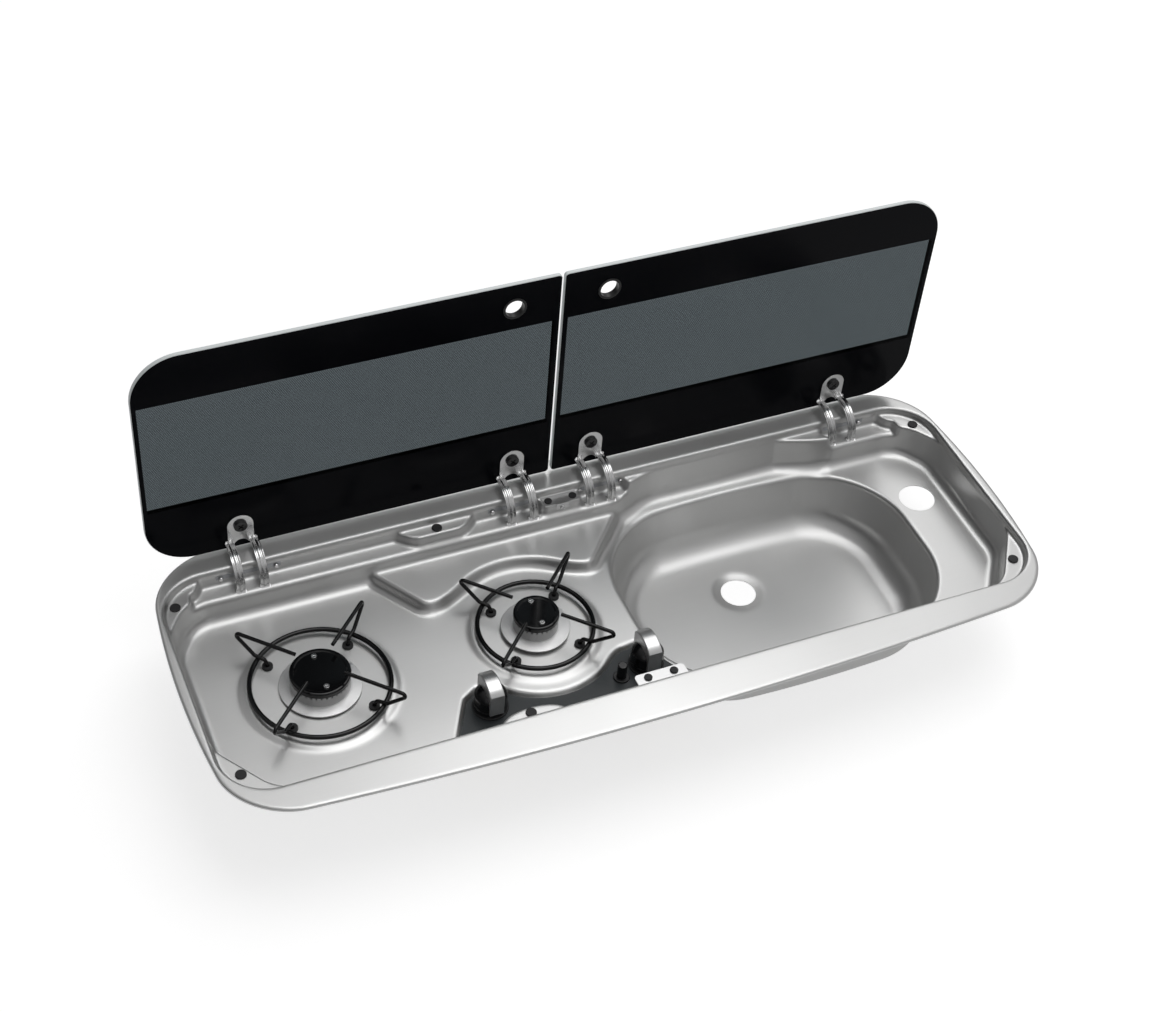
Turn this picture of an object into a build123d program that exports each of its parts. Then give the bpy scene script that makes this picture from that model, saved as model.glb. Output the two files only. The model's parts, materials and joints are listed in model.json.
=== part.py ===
"""Two-burner hob and sink pressed in one stainless top, under two hinged glass lids.

Millimetres. +X runs from the hob to the sink, +Y to the hinges, +Z up.
The origin is the middle of the flange's seat, at the level of the worktop that it lies on.
"""
import os
from math import atan, cos, degrees, radians, sin, tan

from build123d import *

os.makedirs("parts", exist_ok=True)

# ---------------------------------------------------------------- driving dimensions
# flange: a barrel-shaped rim, turned down all round onto the worktop
sheet = 1.0
flange_length = 900.0
flange_depth = 370.0
flange_bow_long = 17.0
flange_bow_short = 16.0
flange_corner = 57.5
lip_height = 3.0
lip_edge_round = 1.0
rim_bend = 2.0

# rim around the well's mouth, which the closed lids fill
rim_end = 11.5
rim_front = 45.5
rim_rear = 43.5
mouth_half = flange_length / 2 - rim_end
mouth_front = -flange_depth / 2 + rim_front
mouth_rear = flange_depth / 2 - rim_rear
mouth_corner = 50.0
mouth_draft = 8.0
rest_ledge_z = -5.5

# well below the lids
well_step = 1.5
hinge_ledge_depth = 21.5
well_half = mouth_half - well_step
well_front = mouth_front + well_step
well_rear = mouth_rear - hinge_ledge_depth
well_draft = 4.0
well_plan_round = 45.0
front_chord_x = well_half - 47.0
front_chord_y = well_front + 68.0
rear_chord_x = well_half - 27.0
rear_chord_y = well_rear - 40.0
deck_z = -44.0
deck_round = 10.0

# hinge ledge along the rear wall
hinge_ledge_z = -17.5
shelf_rear = mouth_rear - 15.5
ledge_left_x = (-well_half + 33.0, -well_half + 46.0, -183.0, -166.0)
ledge_mid_x = (-95.0, -112.0, 62.0, 70.0, 96.0)
ledge_right_x = (well_half - 144.0, well_half - 112.0, well_half - 33.0, well_half - 46.0)
ledge_front_gap = 15.0
centre_block_half = 22.0
centre_block_z = -6.5

# half-round tongue at the front
tongue_x = -137.5
tongue_width = 67.0
tongue_reach = 14.5

# raised shelf behind the small burner
plateau_z = -32.0
plateau_front = well_rear - 60.0
plateau_left = -213.0
plateau_left_front = -178.0
plateau_right = 8.0
plateau_clear_radius = 94.0
plateau_slope = 25.0
plateau_round = 14.0

# bay that widens the well behind the bowl
bay_corner_radius = 98.0
bay_rear = mouth_rear - 1.7
bay_right_x = well_half - 175.0
bay_end_x = well_half - 115.0

# bowl
bowl_left = 23.5
bowl_right = well_half - 71.0
bowl_front = well_front + 8.0
bowl_rear = well_rear - 3.0
bowl_bow_long = 9.0
bowl_bow_short = 3.0
bowl_corner = 88.0
bowl_draft = 7.0
bowl_floor_z = -113.5
bowl_floor_round = 28.0

drain_x, drain_y = (bowl_left + bowl_right) / 2 - 15.75, (bowl_front + bowl_rear) / 2 + 39.5
drain_radius = 19.5
drain_dish_radius = 25.0
drain_dish_depth = 2.5
tap_x, tap_y = well_half - 42.0, well_rear - 80.5
tap_hole_radius = 20.0

# control panel, in a recess between the small burner and the front wall
recess_depth = 6.5
panel_thickness = 1.5
panel_margin = 2.0
recess_arc_radius = 83.0

# burners: axis, raised disc of the deck, skirt, body, neck, chamber, and the pan support over each
burners = {
    "large": dict(x=-well_half + 126.7, y=-3.0, disc=80.0, skirt=41.4, body=30.0, cap_z=-17.5, skirt_top=-36.5,
                  neck=20.0, chamber=25.0, slots=36, ring=69.6, foot=59.0, tip=97.0, screw=20.5),
    "small": dict(x=-81.5, y=-2.7, disc=70.5, skirt=35.7, body=23.2, cap_z=-15.0, skirt_top=-34.5,
                  neck=15.0, chamber=18.5, slots=28, ring=59.6, foot=49.5, tip=90.0, screw=15.5),
}
disc_rise = 2.5
disc_slope = 6.0
cap_overhang = 0.5
cap_thickness = 6.0
skirt_edge = 1.3
cup_flange_margin = 7.0
cup_flange_thickness = 3.0
cup_bottom_z = -78.0
cup_wall = 5.0
cup_rise = 2.5
cup_floor = 4.0
ear_radius = 4.5
skirt_depth = 2.6
ring_floor = 4.0
slot_height = 2.6
slot_width = 1.6
slot_skin = 1.0
cap_screw_angle = 90.0
screw_boss = 3.5
screw_depth = 7.0
cap_dish = 0.8
cap_screw_head = 2.8
cap_screw_height = 1.4
cap_screw_radius = 1.6
injector_radius = 4.0
fit_gap = 0.05
probe_clearance = 1.2
electrode_radius = 2.5
electrode_pin_radius = 0.8
electrode_top_z = -29.0
electrode_bottom_z = -62.0
thermocouple_angle = 12.0
thermocouple_radius = 1.9
thermocouple_top_z = -27.0
thermocouple_bottom_z = -52.0
thermocouple_lead_z = -64.0
pipe_z = -68.0

# pan supports
ring_wire = 5.0
arm_wire = 4.0
ring_z = -34.0
arm_z = -6.2
arm_inner = 27.0
arm_tip_bend = 3.5
foot_depth = 3.0
grommet_radius = 5.5
grommet_neck = 3.5
soft_clearance = 0.3

# controls: x, y of each gas tap and of the igniter
taps = {"left": (-159.0, well_front + 61.0), "right": (10.6, well_front + 60.4)}
igniter_x, igniter_y = -20.5, well_front + 52.0
knob_radius = 17.0
knob_bar_width = 15.0
knob_top_z = -8.5
knob_body_top_z = -26.0
knob_push = 3.5
bezel_radius = 18.5
bezel_height = 2.0
spindle_radius = 4.0
plunger_radius = 5.5
plunger_top_z = -50.5
plunger_bottom_z = -60.0
spindle_top_z = -30.0
tap_bore_z = -66.0
tap_body_half = 12.0
tap_body_reach = 16.0
tap_body_top_z = -54.0
tap_body_bottom_z = -80.0
running_fit = 0.08
tap_neck_radius = 8.0
igniter_radius = 7.0
igniter_bottom_z = -85.0
igniter_bezel = 8.5
button_radius = 5.0
button_top_z = -30.0
button_push = 4.0
button_seat_z = -68.0

# gas rail
rail_y = well_front + 39.0
rail_z = -72.0
rail_radius = 5.0
rail_bore = 3.0
rail_inlet_radius = 4.0
rail_inlet_x = burners["large"]["x"] + 60.3
rail_inlet_length = 35.0
rail_end_x = taps["right"][0] + 12.0
burner_pipe_radius = 3.0
pipe_bend = 22.0
nut_radius = 7.5
nut_length = 7.0
lead_radius = 1.1
lead_bend = 14.0

# lids, drawn standing open
glass = 5.0
pivot_y, pivot_z = mouth_rear + 12.9, -14.1
glass_offset = 10.6
lid_face_y = pivot_y + glass_offset
lid_bottom_z = 6.3
lid_front_gap = 7.0
lid_height = pivot_y - mouth_front - lid_front_gap + pivot_z - lid_bottom_z
lid_inner_x = 1.5
lid_outer_x = mouth_half - 3.0
lid_outer_round = 50.0
lid_inner_round = 4.0
finger_x = 51.0
finger_drop = 30.0
finger_radius = 11.0
finger_ring_bore = 10.0
finger_ring_outer = 12.5
ring_flange = 1.0
glass_hole_radius = 5.0

# hinges
hinge_x = {"left_outer": -lid_outer_x + 95.5, "left_inner": -45.2,
           "right_inner": 45.2, "right_outer": lid_outer_x - 95.5}
arm_radius = 28.5
hinge_sheet = 2.5
arm_offset = 12.5
arm_width = 9.0
arm_from, arm_to = 70.0, 200.0
rib_height = 1.1
eye_radius = 5.0
pin_radius = 2.5
pin_half = 18.6
plate_width = 27.0
plate_thickness = 2.0
screw_z = 37.0
plate_top_z = 50.3
slot_front, slot_back = pivot_y - arm_radius - 3.7, pivot_y - arm_radius + 4.5
slot_side_gap = 0.8
arch_z = 9.5
shoulder_z = 15.0
shoulder_height = 7.0
rib_width = 3.0
screw_head_radius = 7.0
screw_head_height = 2.8
screw_shank = 3.9
cap_nut_radius = 8.0
cap_nut_height = 3.0
cheek_inner = 5.5
cheek_sheet = 1.5
case_top_z = -5.7
case_bottom_z = -17.0
rivet_offset = 29.0
inner_rivet_offset = 18.6
rivet_z = -10.0
rivet_radius = 1.6
rivet_head = 2.8
case_margin = 5.0

# rubber buffers that the closed lids rest on
buffer_places = [(-well_half + 17.0, well_front + 29.0), (well_half - 17.0, well_front + 29.0),
                 (-well_half + 14.0, well_rear - 7.0), (well_half - 14.0, well_rear - 7.0),
                 (tongue_x - 2.0, shelf_rear + 7.5), (tongue_x - 1.7, well_front + 7.0)]
buffer_radius = 5.5
buffer_stem = 2.2
pad_x = 14.0
pad_radius = 4.2
pad_rear_y = shelf_rear + 6.5
pad_front_y = well_front + 9.5
closed_glass_z = pivot_z + glass_offset

bracket_half_rear = 20.0
bracket_half_front = 27.0
bracket_tab_width = 14.0
bracket_tab_z = -15.5
bracket_screw_z = -11.0
bracket_screw_head = 2.8
front_bracket_rear = well_front + 16.0
front_bracket_drop = 6.0

# ---------------------------------------------------------------- derived values
flange_top = lip_height
recess_z = deck_z - recess_depth
panel_top = recess_z + panel_thickness
knob_bottom_z = panel_top + bezel_height + knob_push + soft_clearance
knob_floor_z = knob_bottom_z + 1.2
under_panel = recess_z - sheet
disc_z = deck_z + disc_rise
under_disc = disc_z - sheet
cup_top_z = disc_z + cup_rise
foot_z = disc_z - foot_depth
buffer_top = closed_glass_z - soft_clearance
draft_tan = tan(radians(mouth_draft))
well_tan = tan(radians(well_draft))
pocket_rear = mouth_rear - (flange_top - rest_ledge_z) * draft_tan
deck_inset = (rest_ledge_z - deck_z) * well_tan + 0.2


rivet_places = []
for name, place in hinge_x.items():
    inner_side = 0 if name.endswith("outer") else (1 if place < 0 else -1)
    for side in (-1, 1):
        rivet_places.append(place + side * (inner_rivet_offset if side == inner_side else rivet_offset))


def probe_reach(burner, radius):
    """Distance of a probe's axis from its burner's axis."""
    return burner["body"] + probe_clearance + radius


# ---------------------------------------------------------------- outlines
def bowed_outline(left, right, front, rear, bow_long, bow_short, corner, grow=0.0):
    """Rectangle with outward-bowed sides and rounded corners, grown by a margin."""
    mid_x = (left + right) / 2
    mid_y = (front + rear) / 2
    sw = (left + bow_short, front + bow_long)
    se = (right - bow_short, front + bow_long)
    ne = (right - bow_short, rear - bow_long)
    nw = (left + bow_short, rear - bow_long)
    with BuildSketch() as outline:
        with BuildLine():
            ThreePointArc(sw, (mid_x, front), se)
            ThreePointArc(se, (right, mid_y), ne)
            ThreePointArc(ne, (mid_x, rear), nw)
            ThreePointArc(nw, (left, mid_y), sw)
        make_face()
        fillet(outline.vertices(), corner)
        if grow:
            offset(amount=grow, kind=Kind.ARC)
    return outline.sketch


def rounded_polygon(points, radius, grow=0.0):
    """Closed polygon with every corner rounded, grown (or shrunk) by a margin."""
    with BuildSketch() as outline:
        with BuildLine():
            Polyline(*points, close=True)
        make_face()
        fillet(outline.vertices(), radius)
        if grow:
            offset(amount=grow, kind=Kind.ARC)
    return outline.sketch


def mouth_outline(grow):
    """Plan of the well's mouth at the top of the flange."""
    half = mouth_half + grow
    front = mouth_front - grow
    rear = mouth_rear + grow
    corners = [(-half, front), (half, front), (half, rear), (-half, rear)]
    return rounded_polygon(corners, mouth_corner + grow)


def well_outline(grow):
    """Plan of the well under the rest ledges, with its corners cut across."""
    return rounded_polygon([
        (-well_half, front_chord_y), (-front_chord_x, well_front),
        (front_chord_x, well_front), (well_half, front_chord_y),
        (well_half, rear_chord_y), (rear_chord_x, well_rear),
        (-rear_chord_x, well_rear), (-well_half, rear_chord_y)], well_plan_round, grow)


def bowl_outline(grow):
    return bowed_outline(bowl_left, bowl_right, bowl_front, bowl_rear,
                         bowl_bow_long, bowl_bow_short, bowl_corner, grow)


def bay_outline(grow):
    """Plan of the bay behind the bowl, concentric with the bowl's rear left corner."""
    bay_corner_x = bowl_left + bay_corner_radius - 0.5
    bay_corner_y = bay_rear - bay_corner_radius - 1.8
    arc_left = bay_corner_x - bay_corner_radius
    arc_mid = bay_corner_radius * sin(radians(45))
    with BuildSketch() as outline:
        with BuildLine():
            Line((bay_corner_x, bay_rear), (bay_right_x, bay_rear))
            Line((bay_right_x, bay_rear), (bay_end_x, well_rear))
            Line((bay_end_x, well_rear), (bay_end_x, bay_corner_y))
            Line((bay_end_x, bay_corner_y), (arc_left, bay_corner_y))
            ThreePointArc((arc_left, bay_corner_y),
                          (bay_corner_x - arc_mid, bay_corner_y + arc_mid),
                          (bay_corner_x, bay_rear))
        make_face()
        fillet(outline.vertices().filter_by_position(Axis.X, bay_right_x - 1, bay_end_x + 1), 20)
        if grow:
            offset(amount=grow, kind=Kind.INTERSECTION)
    return outline.sketch


def plateau_outline(grow):
    """Plan of the raised shelf, cut back round the small burner."""
    small = burners["small"]
    with BuildSketch() as outline:
        with BuildLine():
            Polyline((plateau_left - 12, well_rear + 30), (plateau_left, well_rear - 7),
                     (plateau_left_front, plateau_front), (plateau_right, plateau_front),
                     (plateau_right + 52, well_rear - 2), (plateau_right + 52, well_rear + 30), close=True)
        make_face()
        with Locations((small["x"], small["y"])):
            Circle(plateau_clear_radius, mode=Mode.SUBTRACT)
        fillet(outline.vertices().filter_by_position(Axis.Y, plateau_front - 10, well_rear + 10), plateau_round)
        if grow:
            offset(amount=grow, kind=Kind.ARC)
    return outline.sketch


def recess_outline(grow):
    """Plan of the control recess: a crescent round the small burner's disc."""
    small = burners["small"]
    left_x, left_y = taps["left"]
    right_x, right_y = taps["right"]
    with BuildSketch() as outline:
        with BuildLine():
            Polyline((left_x - 57, well_front - 12), (left_x - 44, left_y - 27), (left_x - 22, left_y + 14),
                     (left_x - 6, left_y + 24), (left_x + 20, left_y + 21), (small["x"], right_y + 17.6),
                     (right_x - 30.6, right_y + 23.6), (right_x + 15.4, right_y + 29.6),
                     (right_x + 79.4, right_y + 17.6), (right_x + 79.4, well_front - 12), close=True)
        make_face()
        with Locations((small["x"], small["y"])):
            Circle(recess_arc_radius, mode=Mode.SUBTRACT)
        corners = outline.vertices().filter_by_position(Axis.Y, well_front - 2, right_y + 33)
        fillet(corners.sort_by(Axis.X)[:-1], 9)
        if grow:
            offset(amount=grow, kind=Kind.ARC)
    return outline.sketch


# ---------------------------------------------------------------- the pressed top
def ledge_pockets(skin):
    """Plans of the pockets in the rear wall that leave the hinge ledge below them."""
    deep = well_rear - ledge_front_gap
    wall = pocket_rear + skin
    l0, l1, l2, l3 = ledge_left_x
    m0, m1, m2, m3, m4 = ledge_mid_x
    r0, r1, r2, r3 = ledge_right_x
    gap = centre_block_half - skin
    plans = [
        [(l1, wall), (l0, well_rear + 2), (l0, deep), (l3 + 8, deep), (l3, shelf_rear), (l2, wall)],
        [(m0, wall), (m1, shelf_rear), (m1 - 8, deep), (-gap, deep), (-gap, wall)],
        [(gap, wall), (gap, deep), (m2, deep), (m3, shelf_rear), (m4, wall)],
        [(r0, wall), (r1, well_rear + 1), (r1 + 5, deep), (r2, deep), (r2, well_rear + 2), (r3, wall)],
    ]
    with BuildSketch() as pockets:
        for plan in plans:
            add(rounded_polygon(plan, 2.0))
    return pockets.sketch


def shelf_strips(skin):
    """Plans of the strips that bring the rear wall back to the front of the rear ledges."""
    wall = shelf_rear + skin
    deep = well_rear - 2 * ledge_front_gap
    with BuildSketch() as strips:
        for low, high in ((ledge_left_x[0], ledge_mid_x[2] + 4), (ledge_right_x[1], ledge_right_x[2])):
            add(rounded_polygon([(low, deep), (high, deep), (high, wall), (low, wall)], 3.0))
    return strips.sketch


def pressing(skin):
    """Space inside the pressed sheet: up to its inner face (skin 0) or its outer face (skin = sheet)."""
    with BuildPart() as plateau:
        with BuildSketch(Plane.XY.offset(plateau_z - skin)):
            add(plateau_outline(-skin))
        extrude(amount=-(plateau_z - deck_z + 4), taper=-plateau_slope)
        fillet(plateau.faces().sort_by(Axis.Z)[-1].edges(), 3.0)

    with BuildPart() as bay:
        with BuildSketch(Plane.XY.offset(rest_ledge_z)):
            add(bay_outline(skin))
        extrude(amount=-(rest_ledge_z - deck_z + skin), taper=mouth_draft)
        fillet(bay.faces().sort_by(Axis.Z)[0].edges(), deck_round + skin)

    with BuildPart() as bowl:
        with BuildSketch(Plane.XY.offset(deck_z)):
            add(bowl_outline(skin))
        extrude(amount=-(deck_z - bowl_floor_z + skin), taper=bowl_draft)
        fillet(bowl.faces().sort_by(Axis.Z)[0].edges(), bowl_floor_round + skin)

    with BuildPart() as tongue:
        with BuildSketch(Plane.XY.offset(rest_ledge_z - skin)):
            with Locations((tongue_x, well_front)):
                Ellipse(tongue_width / 2 - skin, tongue_reach - skin)
        extrude(amount=-(rest_ledge_z - recess_z + 8))

    with BuildPart() as recess:
        with BuildSketch(Plane.XY.offset(deck_z)):
            add(recess_outline(skin))
            add(well_outline(skin - deck_inset), mode=Mode.INTERSECT)
        extrude(amount=-(recess_depth + skin))

    with BuildPart() as space:
        with BuildSketch(Plane.XY.offset(flange_top)):
            add(mouth_outline(skin))
        extrude(amount=-(flange_top - rest_ledge_z + skin), taper=mouth_draft)

        with BuildSketch(Plane.XY.offset(rest_ledge_z)):
            add(well_outline(skin))
        extrude(amount=-(rest_ledge_z - deck_z + skin), taper=well_draft)
        fillet(space.faces().sort_by(Axis.Z)[0].edges(), deck_round + skin)

        with BuildSketch(Plane.XY.offset(rest_ledge_z)):
            add(shelf_strips(skin))
            add(ledge_pockets(skin))
        extrude(amount=-(rest_ledge_z - hinge_ledge_z + skin))
        with BuildSketch(Plane.XY.offset(rest_ledge_z)):
            with Locations((0, (well_rear + pocket_rear + skin) / 2)):
                Rectangle(2 * centre_block_half, pocket_rear + skin - well_rear)
        extrude(amount=-(rest_ledge_z - centre_block_z + skin))

        add(plateau.part, mode=Mode.SUBTRACT)
        add(bay.part)
        add(bowl.part)
        add(recess.part)

        add(tongue.part, mode=Mode.SUBTRACT)
    return space.part


def write(builder, name):
    """Label a finished sub-part and write it."""
    builder.part.label = name
    export_step(builder.part, f"parts/{name}.step")


outer_form = pressing(sheet)
inner_form = pressing(0.0)

with BuildPart() as pan:
    with BuildSketch():
        add(bowed_outline(-flange_length / 2, flange_length / 2, -flange_depth / 2, flange_depth / 2,
                          flange_bow_long, flange_bow_short, flange_corner))
    extrude(amount=flange_top)
    fillet(pan.faces().sort_by(Axis.Z)[-1].edges(), lip_edge_round)
    with BuildSketch():
        add(bowed_outline(-flange_length / 2, flange_length / 2, -flange_depth / 2, flange_depth / 2,
                          flange_bow_long, flange_bow_short, flange_corner, -sheet))
    extrude(amount=flange_top - sheet, mode=Mode.SUBTRACT)
    add(outer_form)
    add(inner_form, mode=Mode.SUBTRACT)
    fillet(pan.faces().sort_by(Axis.Z)[-1].inner_wires()[0].edges(), rim_bend)

    # openings for the tap and the drain, which sits in a shallow dish
    with Locations((tap_x, tap_y, deck_z)):
        Hole(tap_hole_radius, depth=2 * sheet)
    with BuildSketch(Plane.XY.offset(bowl_floor_z)):
        with Locations((drain_x, drain_y)):
            Circle(drain_dish_radius + 1.5 * sheet)
    extrude(amount=-(drain_dish_depth + sheet), taper=55)
    with BuildSketch(Plane.XY.offset(bowl_floor_z)):
        with Locations((drain_x, drain_y)):
            Circle(drain_dish_radius)
    extrude(amount=-drain_dish_depth, taper=60, mode=Mode.SUBTRACT)
    with Locations((drain_x, drain_y, bowl_floor_z)):
        Hole(drain_radius, depth=drain_dish_depth + 2 * sheet)

    # raised disc of the deck round each burner, and the openings in it
    disc_taper = degrees(atan(disc_slope / disc_rise))
    for burner in burners.values():
        for low, mode in ((deck_z, Mode.ADD), (deck_z - sheet, Mode.SUBTRACT)):
            with BuildSketch(Plane.XY.offset(low)):
                with Locations((burner["x"], burner["y"])):
                    Circle(burner["disc"])
            extrude(amount=disc_rise, taper=disc_taper, mode=mode)
        with Locations((burner["x"], burner["y"], disc_z)):
            Hole(burner["neck"] + fit_gap, depth=2 * sheet)
            with PolarLocations(burner["foot"], 4, start_angle=45):
                Hole(grommet_neck, depth=2 * sheet)
            with PolarLocations(probe_reach(burner, electrode_radius), 1, start_angle=90):
                Hole(electrode_radius + 0.4, depth=2 * sheet)
            with PolarLocations(probe_reach(burner, thermocouple_radius), 1, start_angle=thermocouple_angle):
                Hole(thermocouple_radius + 0.4, depth=2 * sheet)

    # openings in the control recess
    with Locations(*[(x, y, recess_z) for x, y in taps.values()]):
        Hole(tap_neck_radius + fit_gap, depth=2 * sheet)
    with Locations((igniter_x, igniter_y, recess_z)):
        Hole(igniter_radius + fit_gap, depth=2 * sheet)

    # slots that the hinge arms pass through, and the rivet holes of the hinge cases
    with Locations(*[(x + side * arm_offset, (slot_front + slot_back) / 2, hinge_ledge_z)
                     for x in hinge_x.values() for side in (-1, 1)]):
        Box(arm_width + 2 * slot_side_gap, slot_back - slot_front, 4 * sheet, mode=Mode.SUBTRACT)
    with BuildSketch(Plane.XZ.offset(-pocket_rear - 2 * sheet)):
        with Locations(*[(x, rivet_z) for x in rivet_places]):
            Circle(rivet_radius)
    extrude(amount=4 * sheet, mode=Mode.SUBTRACT)

    # hole of the rear bracket's screw
    with BuildSketch(Plane.XZ.offset(-shelf_rear - 2 * sheet)):
        with Locations((0, bracket_screw_z)):
            Circle(rivet_radius)
    extrude(amount=4 * sheet, mode=Mode.SUBTRACT)

    # holes of the rubber buffers
    with Locations(*[(x, y, rest_ledge_z) for x, y in buffer_places]):
        Hole(buffer_stem, depth=2 * sheet)
write(pan, "pan")


# ---------------------------------------------------------------- control panel
with BuildPart() as control_panel:
    with BuildSketch(Plane.XY.offset(recess_z)):
        add(recess_outline(-panel_margin))
        add(well_outline(-deck_inset - panel_margin), mode=Mode.INTERSECT)
        add(bowl_outline(panel_margin), mode=Mode.SUBTRACT)
        with Locations((tongue_x, well_front)):
            Ellipse(tongue_width / 2 + panel_margin, tongue_reach + panel_margin, mode=Mode.SUBTRACT)
        with Locations(*taps.values()):
            Circle(tap_neck_radius + fit_gap, mode=Mode.SUBTRACT)
        with Locations((igniter_x, igniter_y)):
            Circle(igniter_radius + fit_gap, mode=Mode.SUBTRACT)
    extrude(amount=panel_thickness)
write(control_panel, "control_panel")

# ---------------------------------------------------------------- brackets and buffers for the lids
with BuildPart() as rear_pad_bracket:
    with Locations((0, (shelf_rear + pocket_rear - soft_clearance) / 2, centre_block_z + sheet / 2)):
        Box(2 * bracket_half_rear, pocket_rear - soft_clearance - shelf_rear, sheet)
    with Locations((0, shelf_rear - sheet / 2, (centre_block_z + sheet + bracket_tab_z) / 2)):
        Box(bracket_tab_width, sheet, centre_block_z + sheet - bracket_tab_z)
    with BuildSketch(Plane.XZ.offset(-shelf_rear - sheet)):
        with Locations((0, bracket_screw_z)):
            Circle(rivet_radius)
    extrude(amount=3 * sheet, mode=Mode.SUBTRACT)
write(rear_pad_bracket, "rear_pad_bracket")

with BuildPart() as rear_bracket_screw:
    with BuildSketch(Plane.XZ.offset(-shelf_rear + sheet)):
        with Locations((0, bracket_screw_z)):
            Circle(bracket_screw_head)
    extrude(amount=1.6)
    fillet(rear_bracket_screw.faces().sort_by(Axis.Y)[0].edges(), 0.8)
    with BuildSketch(Plane.XZ.offset(-shelf_rear + sheet)):
        with Locations((0, bracket_screw_z)):
            Circle(rivet_radius - fit_gap)
    extrude(amount=-6.0)
    with BuildSketch(Plane.XZ.offset(-shelf_rear + sheet + 1.6)):
        with Locations((0, bracket_screw_z)):
            Rectangle(3.2, 0.6)
            Rectangle(0.6, 3.2)
    extrude(amount=-0.8, mode=Mode.SUBTRACT)
write(rear_bracket_screw, "rear_bracket_screw")

with BuildPart() as front_pad_bracket:
    with BuildSketch(Plane.YZ):
        with BuildLine():
            Polyline((well_front, rest_ledge_z), (front_bracket_rear, rest_ledge_z),
                     (front_bracket_rear, rest_ledge_z - sheet),
                     (well_front + sheet * well_tan + sheet, rest_ledge_z - sheet),
                     (well_front + front_bracket_drop * well_tan + sheet, rest_ledge_z - front_bracket_drop),
                     (well_front + front_bracket_drop * well_tan, rest_ledge_z - front_bracket_drop), close=True)
        make_face()
    extrude(amount=bracket_half_front, both=True)
    fillet(front_pad_bracket.edges().filter_by(Axis.Z).sort_by(Axis.Y)[-2:], 4.0)
write(front_pad_bracket, "front_pad_bracket")

with BuildPart() as lid_buffers:
    for x, y in buffer_places:
        with BuildSketch(Plane.XY.offset(rest_ledge_z)):
            with Locations((x, y)):
                Circle(buffer_radius)
        extrude(amount=buffer_top - rest_ledge_z)
        with BuildSketch(Plane.XY.offset(rest_ledge_z)):
            with Locations((x, y)):
                Circle(buffer_stem)
        extrude(amount=-sheet)
        with BuildSketch(Plane.XY.offset(rest_ledge_z - sheet)):
            with Locations((x, y)):
                Circle(buffer_stem + 1.0)
        extrude(amount=-2.0, taper=20)
    fillet(lid_buffers.faces().filter_by(Plane.XY).filter_by_position(Axis.Z, buffer_top - 0.01, 0).edges(), 0.6)
write(lid_buffers, "lid_buffers")

with BuildPart() as bracket_pads:
    for x in (-pad_x, pad_x):
        for y, floor in ((pad_rear_y, centre_block_z + sheet), (pad_front_y, rest_ledge_z)):
            with BuildSketch(Plane.XY.offset(floor)):
                with Locations((x, y)):
                    Circle(pad_radius)
            extrude(amount=buffer_top - floor)
    fillet(bracket_pads.faces().filter_by(Plane.XY).filter_by_position(Axis.Z, buffer_top - 0.01, 0).edges(), 0.6)
write(bracket_pads, "bracket_pads")

# ---------------------------------------------------------------- hinge cases, their rivets and pins
case_front = pocket_rear + sheet
case_rear = case_front + cheek_sheet
for name, x in hinge_x.items():
    places = [place for place in rivet_places if abs(place - x) <= rivet_offset + 1]
    low, high = min(places) - case_margin, max(places) + case_margin
    with BuildPart() as hinge_case:
        with BuildSketch(Plane.XZ.offset(-case_front)):
            with Locations(((low + high) / 2, (case_top_z + case_bottom_z) / 2)):
                Rectangle(high - low, case_top_z - case_bottom_z)
            with Locations(*[(place, rivet_z) for place in places]):
                Circle(rivet_radius, mode=Mode.SUBTRACT)
        extrude(amount=-cheek_sheet)
        for side in (-1, 1):
            with BuildSketch(Plane.YZ.offset(x + side * (cheek_inner + cheek_sheet / 2))):
                with BuildLine():
                    Polyline((case_front, case_top_z), (pivot_y + 3, case_top_z), (pivot_y + 6.5, pivot_z + 4),
                             (pivot_y + 6.5, pivot_z - 4), (pivot_y + 2, pivot_z - 7.5),
                             (pivot_y - 5, pivot_z - 7.5), (case_front, case_bottom_z), close=True)
                make_face()
                with Locations((pivot_y, pivot_z)):
                    Circle(pin_radius, mode=Mode.SUBTRACT)
            extrude(amount=cheek_sheet / 2, both=True)
    write(hinge_case, f"hinge_case_{name}")

with BuildPart() as hinge_rivets:
    for place in rivet_places:
        with BuildSketch(Plane.XZ.offset(-pocket_rear)):
            with Locations((place, rivet_z)):
                Circle(rivet_head)
        extrude(amount=1.2, taper=30)
        with BuildSketch(Plane.XZ.offset(-pocket_rear)):
            with Locations((place, rivet_z)):
                Circle(rivet_radius)
        extrude(amount=-(sheet + cheek_sheet))
        with BuildSketch(Plane.XZ.offset(-case_rear)):
            with Locations((place, rivet_z)):
                Circle(rivet_head - 0.6)
        extrude(amount=-1.2)
write(hinge_rivets, "hinge_rivets")

with BuildPart() as hinge_pins:
    for x in hinge_x.values():
        with BuildSketch(Plane.YZ.offset(x)):
            with Locations((pivot_y, pivot_z)):
                Circle(pin_radius)
        extrude(amount=pin_half, both=True)
        for side in (-1, 1):
            with BuildSketch(Plane.YZ.offset(x + side * (pin_half - 0.6))):
                with Locations((pivot_y, pivot_z)):
                    Circle(pin_radius + 1.0)
            extrude(amount=0.6, both=True)
write(hinge_pins, "hinge_pins")


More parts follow.
